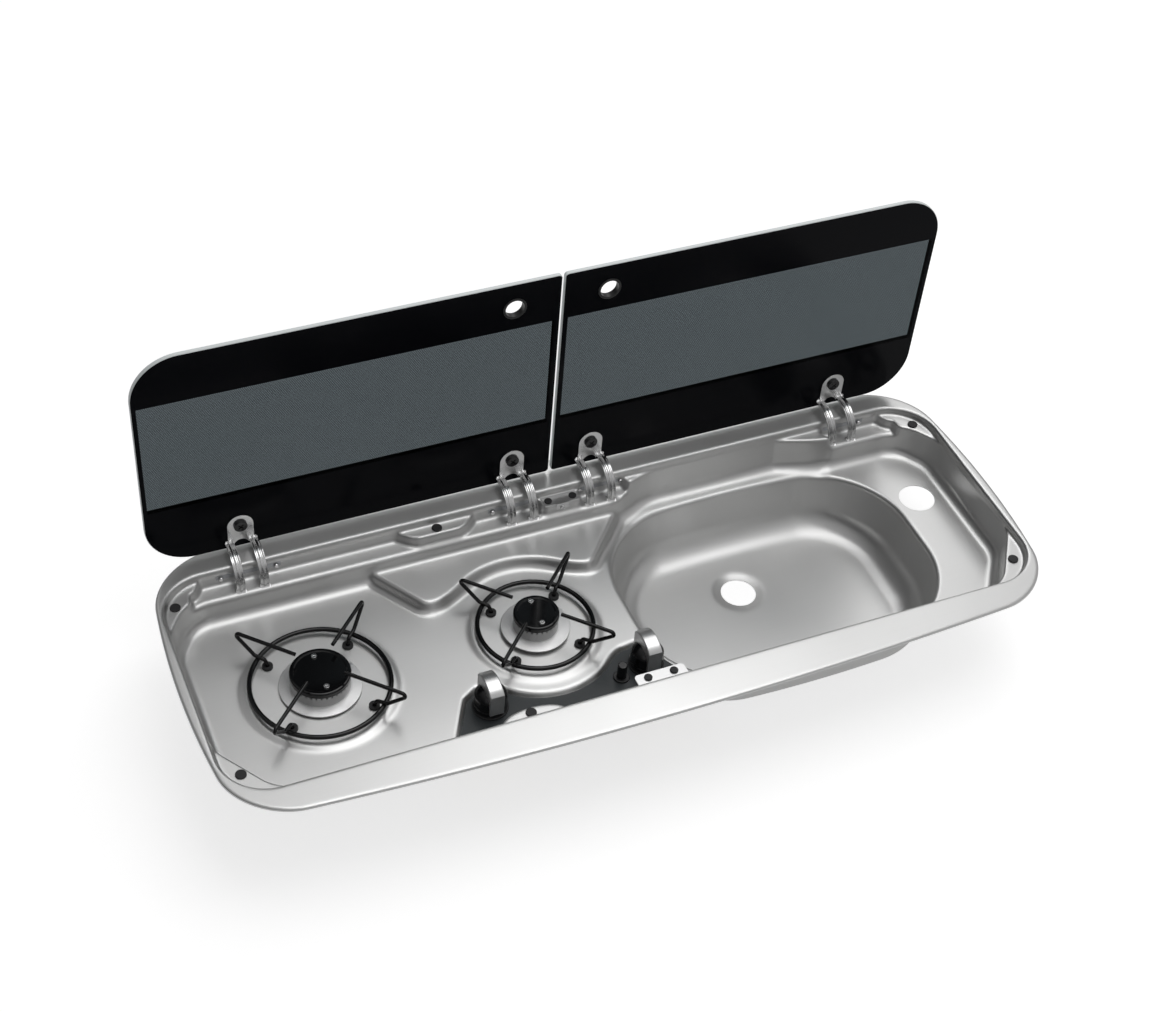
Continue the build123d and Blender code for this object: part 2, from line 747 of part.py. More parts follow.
# ---------------------------------------------------------------- burners
for name, burner in burners.items():
    centre = (burner["x"], burner["y"])
    neck = burner["neck"]
    body = burner["body"]
    bore = neck - cup_wall
    ring_top = burner["cap_z"] - cap_thickness
    skirt_under_z = burner["skirt_top"] - skirt_depth
    probes = [(electrode_radius, 90.0), (thermocouple_radius, thermocouple_angle)]

    with BuildPart() as burner_cup:
        with BuildSketch(Plane.XY.offset(cup_bottom_z)):
            with Locations(centre):
                Circle(neck)
        extrude(amount=cup_top_z - cup_bottom_z)
        with BuildSketch(Plane.XY.offset(under_disc - cup_flange_thickness)):
            with Locations(centre):
                Circle(neck + cup_flange_margin)
            for radius, angle in probes:
                reach = probe_reach(burner, radius)
                with Locations(centre):
                    with PolarLocations(reach / 2, 1, start_angle=angle):
                        Rectangle(reach, 2 * ear_radius)
                    with PolarLocations(reach, 1, start_angle=angle):
                        Circle(ear_radius)
                        Circle(radius, mode=Mode.SUBTRACT)
        extrude(amount=cup_flange_thickness)
        with Locations((*centre, cup_top_z)):
            Hole(bore, depth=cup_top_z - cup_bottom_z - cup_floor)
        with Locations((*centre, cup_bottom_z)):
            Hole(injector_radius, depth=2 * cup_floor)
    write(burner_cup, f"burner_cup_{name}")

    with BuildPart() as burner_skirt:
        with BuildSketch(Plane.XZ):
            with BuildLine():
                Polyline((neck + fit_gap, disc_z), (neck + 6, disc_z), (neck + 6, skirt_under_z),
                         (burner["skirt"], skirt_under_z), (burner["skirt"], skirt_under_z + skirt_edge),
                         (body + 1.5, burner["skirt_top"]), (neck + fit_gap, burner["skirt_top"]), close=True)
            make_face()
        revolve(axis=Axis.Z)
        fillet(burner_skirt.edges().filter_by(GeomType.CIRCLE).group_by(SortBy.RADIUS)[-1], 0.5)
        with Locations((0, 0, burner["skirt_top"])):
            for radius, angle in probes:
                with PolarLocations(probe_reach(burner, radius), 1, start_angle=angle):
                    Hole(radius + 0.4, depth=20)
    burner_skirt.part.position = (*centre, 0)
    write(burner_skirt, f"burner_skirt_{name}")

    with BuildPart() as burner_ring:
        with BuildSketch(Plane.XY.offset(burner["skirt_top"])):
            Circle(body)
            Circle(bore, mode=Mode.SUBTRACT)
        extrude(amount=ring_floor)
        with BuildSketch(Plane.XY.offset(burner["skirt_top"] + ring_floor)):
            Circle(body)
            Circle(burner["chamber"], mode=Mode.SUBTRACT)
            with PolarLocations(burner["screw"], 2, start_angle=cap_screw_angle):
                Circle(screw_boss)
        extrude(amount=ring_top - burner["skirt_top"] - ring_floor)
        with PolarLocations(burner["screw"], 2, start_angle=cap_screw_angle):
            with Locations((0, 0, ring_top)):
                Hole(cap_screw_radius, depth=screw_depth)
        with PolarLocations(body, burner["slots"], start_angle=180 / burner["slots"]):
            with Locations((0, 0, ring_top - slot_height / 2)):
                Box(2 * (body - burner["chamber"] - slot_skin), slot_width, slot_height, mode=Mode.SUBTRACT)
    burner_ring.part.position = (*centre, 0)
    write(burner_ring, f"burner_ring_{name}")

    with BuildPart() as burner_cap:
        with BuildSketch(Plane.XY.offset(ring_top)):
            Circle(body + cap_overhang)
        extrude(amount=cap_thickness)
        fillet(burner_cap.faces().sort_by(Axis.Z)[-1].edges(), 2.0)
        with BuildSketch(Plane.XY.offset(burner["cap_z"])):
            Circle(body - 3.5)
        extrude(amount=-cap_dish, taper=45, mode=Mode.SUBTRACT)
        with PolarLocations(burner["screw"], 2, start_angle=cap_screw_angle):
            with Locations((0, 0, burner["cap_z"])):
                Hole(cap_screw_radius, depth=cap_thickness)
    burner_cap.part.position = (*centre, 0)
    write(burner_cap, f"burner_cap_{name}")

with BuildPart() as burner_cap_screws:
    for burner in burners.values():
        for angle in (cap_screw_angle, cap_screw_angle + 180):
            place = (burner["x"] + burner["screw"] * cos(radians(angle)),
                     burner["y"] + burner["screw"] * sin(radians(angle)))
            with BuildSketch(Plane.XY.offset(burner["cap_z"] - cap_dish)):
                with Locations(place):
                    Circle(cap_screw_head)
            extrude(amount=cap_screw_height)
            with BuildSketch(Plane.XY.offset(burner["cap_z"] - cap_dish)):
                with Locations(place):
                    Circle(cap_screw_radius)
            extrude(amount=-(cap_thickness - cap_dish + screw_depth))
            with BuildSketch(Plane.XY.offset(burner["cap_z"] - cap_dish + cap_screw_height)):
                with Locations(place):
                    Rectangle(3.4, 0.7)
            extrude(amount=-0.8, mode=Mode.SUBTRACT)
write(burner_cap_screws, "burner_cap_screws")

with BuildPart() as injectors:
    for burner in burners.values():
        with BuildSketch(Plane.XY.offset(cup_bottom_z - 4)):
            with Locations((burner["x"], burner["y"])):
                RegularPolygon(injector_radius + 1.5, 6)
        extrude(amount=4)
        with BuildSketch(Plane.XY.offset(cup_bottom_z)):
            with Locations((burner["x"], burner["y"])):
                Circle(injector_radius)
        extrude(amount=cup_floor + 3)
        with Locations((burner["x"], burner["y"], cup_bottom_z + cup_floor + 3)):
            Hole(0.5, depth=cup_floor + 2)
write(injectors, "injectors")

electrode_places = {}
thermocouple_places = {}
for name, burner in burners.items():
    reach = probe_reach(burner, electrode_radius)
    electrode_places[name] = (burner["x"], burner["y"] + reach)
    reach = probe_reach(burner, thermocouple_radius)
    thermocouple_places[name] = (burner["x"] + reach * cos(radians(thermocouple_angle)),
                                 burner["y"] + reach * sin(radians(thermocouple_angle)))

with BuildPart() as electrode_insulators:
    for place in electrode_places.values():
        with BuildSketch(Plane.XY.offset(electrode_bottom_z)):
            with Locations(place):
                Circle(electrode_radius)
                Circle(electrode_pin_radius, mode=Mode.SUBTRACT)
        extrude(amount=electrode_top_z - electrode_bottom_z)
write(electrode_insulators, "electrode_insulators")

with BuildPart() as electrode_pins:
    for place in electrode_places.values():
        with BuildSketch(Plane.XY.offset(electrode_bottom_z)):
            with Locations(place):
                Circle(electrode_pin_radius)
        extrude(amount=electrode_top_z - electrode_bottom_z + 5)
write(electrode_pins, "electrode_pins")

# ---------------------------------------------------------------- pan supports and their grommets
for name, burner in burners.items():
    with BuildPart() as pan_support:
        with BuildSketch(Plane.XZ):
            with Locations((burner["ring"], ring_z)):
                Circle(ring_wire / 2)
        revolve(axis=Axis.Z)
        for angle in (45, 135, 225, 315):
            turned = Plane.XZ.rotated((0, 0, angle))
            with BuildLine(turned) as arm_path:
                FilletPolyline((arm_inner, arm_z), (burner["tip"], arm_z),
                               (burner["ring"] + 3.4, ring_z + 4), (burner["foot"] + 3.0, ring_z + 3.0),
                               (burner["foot"], ring_z - 3), (burner["foot"], foot_z),
                               radius=arm_tip_bend)
            with BuildSketch(Plane(origin=arm_path.line @ 0, z_dir=arm_path.line % 0)):
                Circle(arm_wire / 2)
            sweep(path=arm_path.line)
    pan_support.part.position = (burner["x"], burner["y"], 0)
    write(pan_support, f"pan_support_{name}")

with BuildPart() as support_grommets:
    for burner in burners.values():
        for angle in (45, 135, 225, 315):
            place = (burner["x"] + burner["foot"] * cos(radians(angle)),
                     burner["y"] + burner["foot"] * sin(radians(angle)))
            for low, high, radius in ((disc_z, disc_z + 3, grommet_radius), (under_disc, disc_z, grommet_neck),
                                      (under_disc - 4, under_disc, grommet_radius - 0.5)):
                with BuildSketch(Plane.XY.offset(low)):
                    with Locations(place):
                        Circle(radius)
                extrude(amount=high - low)
            with Locations((*place, disc_z + 3)):
                Hole(arm_wire / 2 + soft_clearance, depth=disc_z + 3 - foot_z + soft_clearance)
write(support_grommets, "support_grommets")

# ---------------------------------------------------------------- gas taps, knobs and igniter
for name, (x, y) in taps.items():
    with BuildPart() as tap_body:
        with BuildSketch(Plane.XY.offset(tap_body_bottom_z)):
            with Locations((x, y)):
                Rectangle(2 * tap_body_half, 2 * tap_body_reach)
        extrude(amount=tap_body_top_z - tap_body_bottom_z)
        fillet(tap_body.edges().filter_by(Axis.Z), 2.0)
        with BuildSketch(Plane.XY.offset(tap_body_top_z)):
            with Locations((x, y)):
                Circle(tap_neck_radius)
        extrude(amount=panel_top - tap_body_top_z)
        with Locations((x, (rail_y - 6 + y - tap_body_reach) / 2, rail_z)):
            Box(12, y - tap_body_reach - rail_y + 6, 14)
        with BuildSketch(Plane.YZ.offset(x - 10)):
            with Locations((rail_y, rail_z)):
                Circle(rail_radius + fit_gap)
        extrude(amount=20, mode=Mode.SUBTRACT)
        with Locations((x, y, panel_top)):
            Hole(plunger_radius + running_fit, depth=panel_top - tap_bore_z)
    write(tap_body, f"tap_body_{name}")

    with BuildPart() as tap_plunger:
        with BuildSketch(Plane.XY.offset(plunger_bottom_z)):
            with Locations((x, y)):
                Circle(plunger_radius)
                Circle(spindle_radius + running_fit, mode=Mode.SUBTRACT)
        extrude(amount=plunger_top_z - plunger_bottom_z)
    write(tap_plunger, f"tap_plunger_{name}")

    with BuildPart() as tap_spindle:
        with BuildSketch(Plane.XY.offset(plunger_bottom_z - 2)):
            with Locations((x, y)):
                Circle(spindle_radius)
        extrude(amount=spindle_top_z - plunger_bottom_z + 2)
    write(tap_spindle, f"tap_spindle_{name}")

    with BuildPart() as knob:
        with BuildSketch(Plane.XZ.offset(-y)):
            with BuildLine():
                Polyline((x, knob_bottom_z), (x + knob_radius + 0.7, knob_bottom_z),
                         (x + knob_radius + 0.7, knob_bottom_z + 2), (x + knob_radius, knob_bottom_z + 3),
                         (x + knob_radius - 0.5, knob_body_top_z - 3))
                ThreePointArc((x + knob_radius - 0.5, knob_body_top_z - 3),
                              (x + knob_radius - 5, knob_body_top_z + 2), (x, knob_body_top_z + 5))
                Line((x, knob_body_top_z + 5), (x, knob_bottom_z))
            make_face()
        revolve(axis=Axis((x, y, 0), (0, 0, 1)))
        with Locations((x, y, 0)):
            Box(knob_bar_width, 60, 2 * -knob_floor_z, mode=Mode.SUBTRACT)
        with BuildSketch(Plane.XY.offset(knob_bottom_z)):
            with Locations((x, y)):
                Rectangle(knob_bar_width, 20)
        extrude(amount=knob_floor_z - knob_bottom_z)
        with Locations((x, y, knob_floor_z)):
            Hole(spindle_radius, depth=20)
    write(knob, f"knob_{name}")

    with BuildPart() as knob_grip:
        with BuildSketch(Plane.YZ.offset(x)):
            with BuildLine():
                Polyline((y - knob_radius - 0.7, knob_floor_z), (y - knob_radius - 0.7, knob_top_z - 7))
                ThreePointArc((y - knob_radius - 0.7, knob_top_z - 7), (y, knob_top_z),
                              (y + knob_radius + 0.7, knob_top_z - 7))
                Polyline((y + knob_radius + 0.7, knob_top_z - 7), (y + knob_radius + 0.7, knob_floor_z),
                         (y - knob_radius - 0.7, knob_floor_z))
            make_face()
        extrude(amount=knob_bar_width / 2, both=True)
        fillet(knob_grip.edges().group_by(Axis.Z)[-1], 1.2)
        with Locations((x, y, knob_floor_z)):
            Hole(spindle_radius, depth=2 * (spindle_top_z - knob_floor_z))
    write(knob_grip, f"knob_grip_{name}")

with BuildPart() as knob_seals:
    for place in taps.values():
        with BuildSketch(Plane.XY.offset(panel_top)):
            with Locations(place):
                Circle(bezel_radius)
                Circle(plunger_radius + soft_clearance, mode=Mode.SUBTRACT)
        extrude(amount=bezel_height)
    fillet(knob_seals.faces().sort_by(Axis.Z)[-1].outer_wire().edges(), 1.0)
write(knob_seals, "knob_seals")

with BuildPart() as igniter_body:
    with BuildSketch(Plane.XY.offset(igniter_bottom_z)):
        with Locations((igniter_x, igniter_y)):
            Circle(igniter_radius)
    extrude(amount=panel_top - igniter_bottom_z)
    with BuildSketch(Plane.XY.offset(panel_top)):
        with Locations((igniter_x, igniter_y)):
            Circle(igniter_bezel)
    extrude(amount=bezel_height)
    fillet(igniter_body.faces().sort_by(Axis.Z)[-1].edges(), 0.8)
    with Locations((igniter_x, igniter_y, panel_top + bezel_height)):
        Hole(button_radius + running_fit, depth=panel_top + bezel_height - button_seat_z)
write(igniter_body, "igniter_body")

with BuildPart() as igniter_nut:
    with BuildSketch(Plane.XY.offset(under_panel - 5)):
        with Locations((igniter_x, igniter_y)):
            RegularPolygon(igniter_radius + 4, 6)
            Circle(igniter_radius, mode=Mode.SUBTRACT)
    extrude(amount=5)
write(igniter_nut, "igniter_nut")

with BuildPart() as igniter_button:
    with BuildSketch(Plane.XY.offset(button_seat_z + button_push)):
        with Locations((igniter_x, igniter_y)):
            Circle(button_radius)
    extrude(amount=button_top_z - button_seat_z - button_push)
    fillet(igniter_button.faces().sort_by(Axis.Z)[-1].edges(), 1.2)
write(igniter_button, "igniter_button")

# ---------------------------------------------------------------- gas rail, pipes, leads
with BuildPart() as gas_rail:
    with BuildSketch(Plane.YZ.offset(rail_inlet_x)):
        with Locations((rail_y, rail_z)):
            Circle(rail_inlet_radius)
    extrude(amount=rail_inlet_length)
    with BuildSketch(Plane.YZ.offset(rail_inlet_x + rail_inlet_length)):
        with Locations((rail_y, rail_z)):
            Circle(rail_radius)
    extrude(amount=rail_end_x - rail_inlet_x - rail_inlet_length)
    with BuildSketch(Plane.YZ.offset(rail_inlet_x)):
        with Locations((rail_y, rail_z)):
            Circle(rail_bore)
    extrude(amount=rail_end_x - rail_inlet_x - 3, mode=Mode.SUBTRACT)
write(gas_rail, "gas_rail")

routes = {"left": "large", "right": "small"}
for side, name in routes.items():
    x, y = taps[side]
    burner = burners[name]
    heading = 1 if burner["x"] > x else -1
    end_x = burner["x"] - heading * burner["neck"]
    with BuildPart() as gas_pipe:
        with BuildLine() as pipe_path:
            FilletPolyline((x, y + tap_body_reach, pipe_z), (x, burner["y"], pipe_z),
                           (end_x, burner["y"], pipe_z), radius=pipe_bend)
        with BuildSketch(Plane(origin=pipe_path.line @ 0, z_dir=pipe_path.line % 0)):
            Circle(burner_pipe_radius)
        sweep(path=pipe_path.line)
    write(gas_pipe, f"gas_pipe_{side}")

with BuildPart() as pipe_nuts:
    for side, name in routes.items():
        x, y = taps[side]
        burner = burners[name]
        heading = 1 if burner["x"] > x else -1
        end_x = burner["x"] - heading * burner["neck"]
        with BuildSketch(Plane.XZ.offset(-y - tap_body_reach)):
            with Locations((x, pipe_z)):
                RegularPolygon(nut_radius, 6)
                Circle(burner_pipe_radius, mode=Mode.SUBTRACT)
        extrude(amount=-nut_length)
        with BuildSketch(Plane.YZ.offset(end_x)):
            with Locations((burner["y"], pipe_z)):
                RegularPolygon(nut_radius, 6)
                Circle(burner_pipe_radius, mode=Mode.SUBTRACT)
        extrude(amount=-heading * nut_length)
write(pipe_nuts, "pipe_nuts")

with BuildPart() as thermocouples:
    for side, name in routes.items():
        x, y = taps[side]
        tip_x, tip_y = thermocouple_places[name]
        with BuildSketch(Plane.XY.offset(thermocouple_bottom_z)):
            with Locations((tip_x, tip_y)):
                Circle(thermocouple_radius)
        extrude(amount=thermocouple_top_z - thermocouple_bottom_z)
        with BuildLine() as lead_path:
            FilletPolyline((tip_x, tip_y, thermocouple_bottom_z), (tip_x, tip_y, thermocouple_lead_z),
                           (x + 7, tip_y, thermocouple_lead_z), (x + 7, y + tap_body_reach, thermocouple_lead_z),
                           radius=lead_bend / 2)
        with BuildSketch(Plane(origin=lead_path.line @ 0, z_dir=lead_path.line % 0)):
            Circle(lead_radius)
        sweep(path=lead_path.line)
write(thermocouples, "thermocouples")

with BuildPart() as ignition_leads:
    for shift, name, lead_z in ((-4, "large", -95.0), (4, "small", -90.0)):
        place_x, place_y = electrode_places[name]
        with BuildLine() as lead_path:
            FilletPolyline((igniter_x + shift, igniter_y, igniter_bottom_z), (igniter_x + shift, igniter_y, lead_z),
                           (igniter_x + shift, place_y, lead_z), (place_x, place_y, lead_z),
                           (place_x, place_y, electrode_bottom_z), radius=3.0)
        with BuildSketch(Plane(origin=lead_path.line @ 0, z_dir=lead_path.line % 0)):
            Circle(lead_radius)
        sweep(path=lead_path.line)
write(ignition_leads, "ignition_leads")

# ---------------------------------------------------------------- lids, standing open on their hinges
lids = {"left": (-1, ("left_outer", "left_inner")), "right": (1, ("right_inner", "right_outer"))}
for name, (side, hinges) in lids.items():
    inner, outer = side * lid_inner_x, side * lid_outer_x
    lid_top_z = lid_bottom_z + lid_height
    with BuildPart() as lid_glass:
        with BuildSketch(Plane.XZ.offset(-lid_face_y)) as pane:
            with Locations(((inner + outer) / 2, (lid_bottom_z + lid_top_z) / 2)):
                Rectangle(abs(outer - inner), lid_height)
            corners = pane.vertices().sort_by(Axis.X)
            fillet(corners[:2] if side < 0 else corners[2:], lid_outer_round)
            corners = pane.vertices().sort_by(Axis.X)
            fillet(corners[-2:] if side < 0 else corners[:2], lid_inner_round)
            with Locations((side * finger_x, lid_top_z - finger_drop)):
                Circle(finger_radius, mode=Mode.SUBTRACT)
            with Locations(*[(hinge_x[hinge], screw_z) for hinge in hinges]):
                Circle(glass_hole_radius, mode=Mode.SUBTRACT)
        extrude(amount=-glass)
        rims = lid_glass.faces().filter_by(Axis.Y)
        chamfer([edge for face in rims for edge in face.outer_wire().edges()], 0.6)
    write(lid_glass, f"lid_glass_{name}")

    with BuildPart() as finger_ring:
        with BuildSketch(Plane.XY):
            with BuildLine():
                Polyline((finger_ring_bore, -ring_flange), (finger_ring_outer, -ring_flange),
                         (finger_ring_outer, 0), (finger_radius - fit_gap, 0),
                         (finger_radius - fit_gap, glass), (finger_ring_outer, glass),
                         (finger_ring_outer, glass + ring_flange), (finger_ring_bore, glass + ring_flange),
                         close=True)
            make_face()
        revolve(axis=Axis.Y)
        fillet(finger_ring.edges().filter_by(GeomType.CIRCLE).group_by(SortBy.RADIUS)[-1], 0.4)
    finger_ring.part.position = (side * finger_x, lid_face_y, lid_top_z - finger_drop)
    write(finger_ring, f"finger_ring_{name}")

    with BuildPart() as lid_screws:
        for hinge in hinges:
            with BuildSketch(Plane.XZ.offset(-lid_face_y + plate_thickness)):
                with Locations((hinge_x[hinge], screw_z)):
                    Circle(screw_head_radius)
            extrude(amount=screw_head_height)
            fillet(lid_screws.faces().sort_by(Axis.Y)[0].edges(), 0.9)
            with BuildSketch(Plane.XZ.offset(-lid_face_y + plate_thickness)):
                with Locations((hinge_x[hinge], screw_z)):
                    Circle(screw_shank)
            extrude(amount=-(plate_thickness + glass + cap_nut_height - 1))
            with BuildSketch(Plane.XZ.offset(-lid_face_y + plate_thickness + screw_head_height)):
                with Locations((hinge_x[hinge], screw_z)):
                    Rectangle(7, 1.4, rotation=45)
                    Rectangle(1.4, 7, rotation=45)
            extrude(amount=-1.6, mode=Mode.SUBTRACT)
    write(lid_screws, f"lid_screws_{name}")

    with BuildPart() as lid_cap_nuts:
        for hinge in hinges:
            with BuildSketch(Plane.XZ.offset(-lid_face_y - glass)):
                with Locations((hinge_x[hinge], screw_z)):
                    Circle(cap_nut_radius)
            extrude(amount=-cap_nut_height)
            with BuildSketch(Plane.XZ.offset(-lid_face_y - glass)):
                with Locations((hinge_x[hinge], screw_z)):
                    Circle(screw_shank)
            extrude(amount=-(cap_nut_height - 1), mode=Mode.SUBTRACT)
        fillet(lid_cap_nuts.faces().filter_by_position(Axis.Y, lid_face_y + glass + cap_nut_height - 0.01,
                                                       lid_face_y + glass + cap_nut_height + 0.01).edges(), 1.0)
    write(lid_cap_nuts, f"lid_cap_nuts_{name}")

# ---------------------------------------------------------------- hinge arms
def arc_point(radius, angle):
    """Point on a circle about the hinge pin, its angle measured from +Y towards +Z."""
    return (pivot_y + radius * cos(radians(angle)), pivot_z + radius * sin(radians(angle)))


def arc_band(inner, outer, start, end):
    """Profile of a band about the hinge pin."""
    middle = (start + end) / 2
    with BuildSketch() as band:
        with BuildLine():
            ThreePointArc(arc_point(inner, start), arc_point(inner, middle), arc_point(inner, end))
            Line(arc_point(inner, end), arc_point(outer, end))
            ThreePointArc(arc_point(outer, end), arc_point(outer, middle), arc_point(outer, start))
            Line(arc_point(outer, start), arc_point(inner, start))
        make_face()
    return band.sketch


for name, x in hinge_x.items():
    with BuildPart() as hinge_arm:
        # upright plate against the glass, with the arch between the arms
        with BuildSketch(Plane.XZ.offset(-lid_face_y + plate_thickness)):
            with Locations((x, (arch_z + plate_top_z - plate_width / 2) / 2 + 2)):
                Rectangle(plate_width, plate_top_z - plate_width / 2 - arch_z - 4)
            with Locations((x, plate_top_z - plate_width / 2)):
                Circle(plate_width / 2)
            with Locations((x, shoulder_z)):
                RectangleRounded(2 * (arm_offset + arm_width / 2), shoulder_height, 3.0)
            with Locations((x, screw_z)):
                Circle(screw_shank + fit_gap, mode=Mode.SUBTRACT)
            with Locations((x, arch_z)):
                Circle(arm_offset - arm_width / 2, mode=Mode.SUBTRACT)
            with Locations((x, arch_z - 10)):
                Rectangle(2 * arm_offset - arm_width, 20, mode=Mode.SUBTRACT)
        extrude(amount=-plate_thickness)
        for side in (-1, 1):
            middle = x + side * arm_offset
            with BuildSketch(Plane.YZ.offset(middle)):
                add(arc_band(arm_radius - hinge_sheet / 2, arm_radius + hinge_sheet / 2, arm_from, arm_to))
                with BuildLine():
                    Polyline(arc_point(arm_radius - hinge_sheet / 2, arm_to),
                             arc_point(arm_radius + hinge_sheet / 2, arm_to),
                             (pivot_y, pivot_z - hinge_sheet - 1), (pivot_y, pivot_z - 1), close=True)
                make_face()
                with Locations((pivot_y, pivot_z)):
                    Circle(eye_radius)
                    Circle(pin_radius + fit_gap, mode=Mode.SUBTRACT)
            extrude(amount=arm_width / 2, both=True)
            with BuildSketch(Plane.YZ.offset(middle)):
                add(arc_band(arm_radius, arm_radius + hinge_sheet / 2 + rib_height, arm_from + 10, arm_to - 14))
            extrude(amount=rib_width / 2, both=True)
    write(hinge_arm, f"hinge_arm_{name}")
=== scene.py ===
"""Looks of the hob and sink: pressed stainless top, dark printed lids, burners and controls."""
import json
import math

import bpy
import numpy as np
from mathutils import Matrix, Vector


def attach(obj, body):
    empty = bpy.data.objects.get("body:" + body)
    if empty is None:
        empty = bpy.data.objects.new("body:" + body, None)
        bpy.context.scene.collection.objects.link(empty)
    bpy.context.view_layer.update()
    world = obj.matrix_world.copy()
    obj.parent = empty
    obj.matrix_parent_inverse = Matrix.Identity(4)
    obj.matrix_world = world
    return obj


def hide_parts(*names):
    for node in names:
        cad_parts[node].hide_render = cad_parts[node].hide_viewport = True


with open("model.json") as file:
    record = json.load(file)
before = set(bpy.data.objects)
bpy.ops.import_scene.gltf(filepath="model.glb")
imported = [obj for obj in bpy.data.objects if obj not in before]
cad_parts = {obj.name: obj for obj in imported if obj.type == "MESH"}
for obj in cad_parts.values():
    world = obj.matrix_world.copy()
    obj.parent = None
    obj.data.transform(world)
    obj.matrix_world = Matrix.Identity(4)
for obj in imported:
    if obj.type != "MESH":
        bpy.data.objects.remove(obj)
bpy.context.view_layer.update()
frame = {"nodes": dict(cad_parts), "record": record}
nodes = frame["nodes"]

# ------------------------------------------------------------ sizes in millimetres
# They follow the solids, with softer bends and one pocket a little shorter.
SHEET = 1.0
SEAT_TOP, REST, LEDGE, PLATEAU_TOP = 3.0, -5.5, -17.5, -32.0
DISC, DECK, RECESS, FLOOR = -41.5, -44.0, -50.5, -113.5
# left, right, front, rear, bow of the long and the short sides, corner radius
FLANGE = (-450, 450, -185, 185, 17, 16, 57.5)
BOWL = (23.5, 366, -130, 117, 9, 3, 88)
# angles of the walls off upright, in degrees
MOUTH_WALL, WELL_WALL, LEDGE_WALL, BAY_WALL, BOWL_WALL, PLATEAU_WALL, TONGUE_WALL = 8, 4, 7, 8, 7, 27, 6
# run of the shallow slopes for each millimetre of rise
DRAIN_RUN, DISC_RUN, RECESS_RUN = 1.73, 2.4, 0.35
DISC_SCALE = 0.385
# radii where a wall meets its floor, and where it meets the face above
FOOT = dict(well=11.0, ledge=3.5, bay=10.0, plateau=2.5, bowl=28.0, drain=2.0, disc=0.4, recess=1.5,
            tongue=3.0, mouth=1.5)
EDGE = dict(ledge=5.0, bay=8.0, plateau=5.0, bowl=4.0, drain=4.0, disc=0.6, recess=3.0, tongue=4.0,
            mouth=1.0, flange=2.0, lip=1.2)
BURNERS = {
    "large": dict(x=-310.3, y=-3.0, disc=80.0, neck=20.0),
    "small": dict(x=-81.5, y=-2.7, disc=70.5, neck=15.0),
}
# holes: centre and radius
TAPS = [(-159.0, -77.0, 8.3), (10.6, -77.6, 8.3)]
IGNITER = (-20.5, -86.0, 7.3)
TAP_HOLE = (395.0, 39.5, 20.0)
DRAIN = (179.0, 33.0, 19.5)
DRAIN_DISH = 25.0
NECK_GAP = 0.3
HINGES = [-340.0, -45.2, 45.2, 340.0]
ARM_SHIFT = 12.5
SLOT_Y, SLOT_HALF = 126.3, (5.3, 4.1)
LID_FACE, GLASS_T = 165.0, 5.0


def tand(a):
    """Tangent of an angle in degrees."""
    return math.tan(math.radians(a))


# ------------------------------------------------------------ the pressing as one smooth field
def rmax(a, b, r):
    """Intersection of two signed distances, its edge rounded to a radius."""
    if r <= 0:
        return np.maximum(a, b)
    return np.minimum(np.maximum(a, b), -r) + np.hypot(np.maximum(a + r, 0), np.maximum(b + r, 0))


def rmin(a, b, r):
    """Union of two signed distances, its inner corner rounded to a radius."""
    return -rmax(-a, -b, r)


def poly(points, x, y):
    """Signed distance to a closed polygon, negative inside."""
    d2 = np.full(np.broadcast(x, y).shape, 1e12)
    sign = np.ones_like(d2)
    n = len(points)
    for i in range(n):
        ax, ay = points[i]
        bx, by = points[i - 1]
        ex, ey = bx - ax, by - ay
        wx, wy = x - ax, y - ay
        t = np.clip((wx * ex + wy * ey) / (ex * ex + ey * ey), 0, 1)
        d2 = np.minimum(d2, (wx - ex * t) ** 2 + (wy - ey * t) ** 2)
        c1, c2, c3 = y >= ay, y < by, ex * wy > ey * wx
        sign = np.where((c1 & c2 & c3) | (~c1 & ~c2 & ~c3), -sign, sign)
    return sign * np.sqrt(d2)


def inset(points, r):
    """Convex polygon (anticlockwise) with every side moved in by r."""
    out = []
    n = len(points)
    for i in range(n):
        p0, p1, p2 = (np.array(points[(i + k) % n], float) for k in (-1, 0, 1))
        a, b = (p1 - p0) / np.linalg.norm(p1 - p0), (p2 - p1) / np.linalg.norm(p2 - p1)
        na, nb = np.array([-a[1], a[0]]), np.array([-b[1], b[0]])
        m = np.linalg.solve(np.array([na, nb]), [na @ p1 + r, nb @ p1 + r])
        out.append(tuple(m))
    return out


def disc(cx, cy, r, x, y):
    """Signed distance to a circle."""
    return np.hypot(x - cx, y - cy) - r


def bowed(left, right, front, rear, bow_long, bow_short, corner, x, y):
    """Signed distance to a rectangle with bowed sides and rounded corners."""
    cx, cy = (left + right) / 2, (front + rear) / 2
    half_x, half_y = (right - left) / 2, (rear - front) / 2
    long_r = ((half_x - bow_short) ** 2 + bow_long ** 2) / (2 * bow_long)
    short_r = ((half_y - bow_long) ** 2 + bow_short ** 2) / (2 * bow_short)
    a = np.maximum(disc(left + short_r, cy, short_r, x, y), disc(right - short_r, cy, short_r, x, y))
    b = np.maximum(disc(cx, front + long_r, long_r, x, y), disc(cx, rear - long_r, long_r, x, y))
    return rmax(a, b, corner)


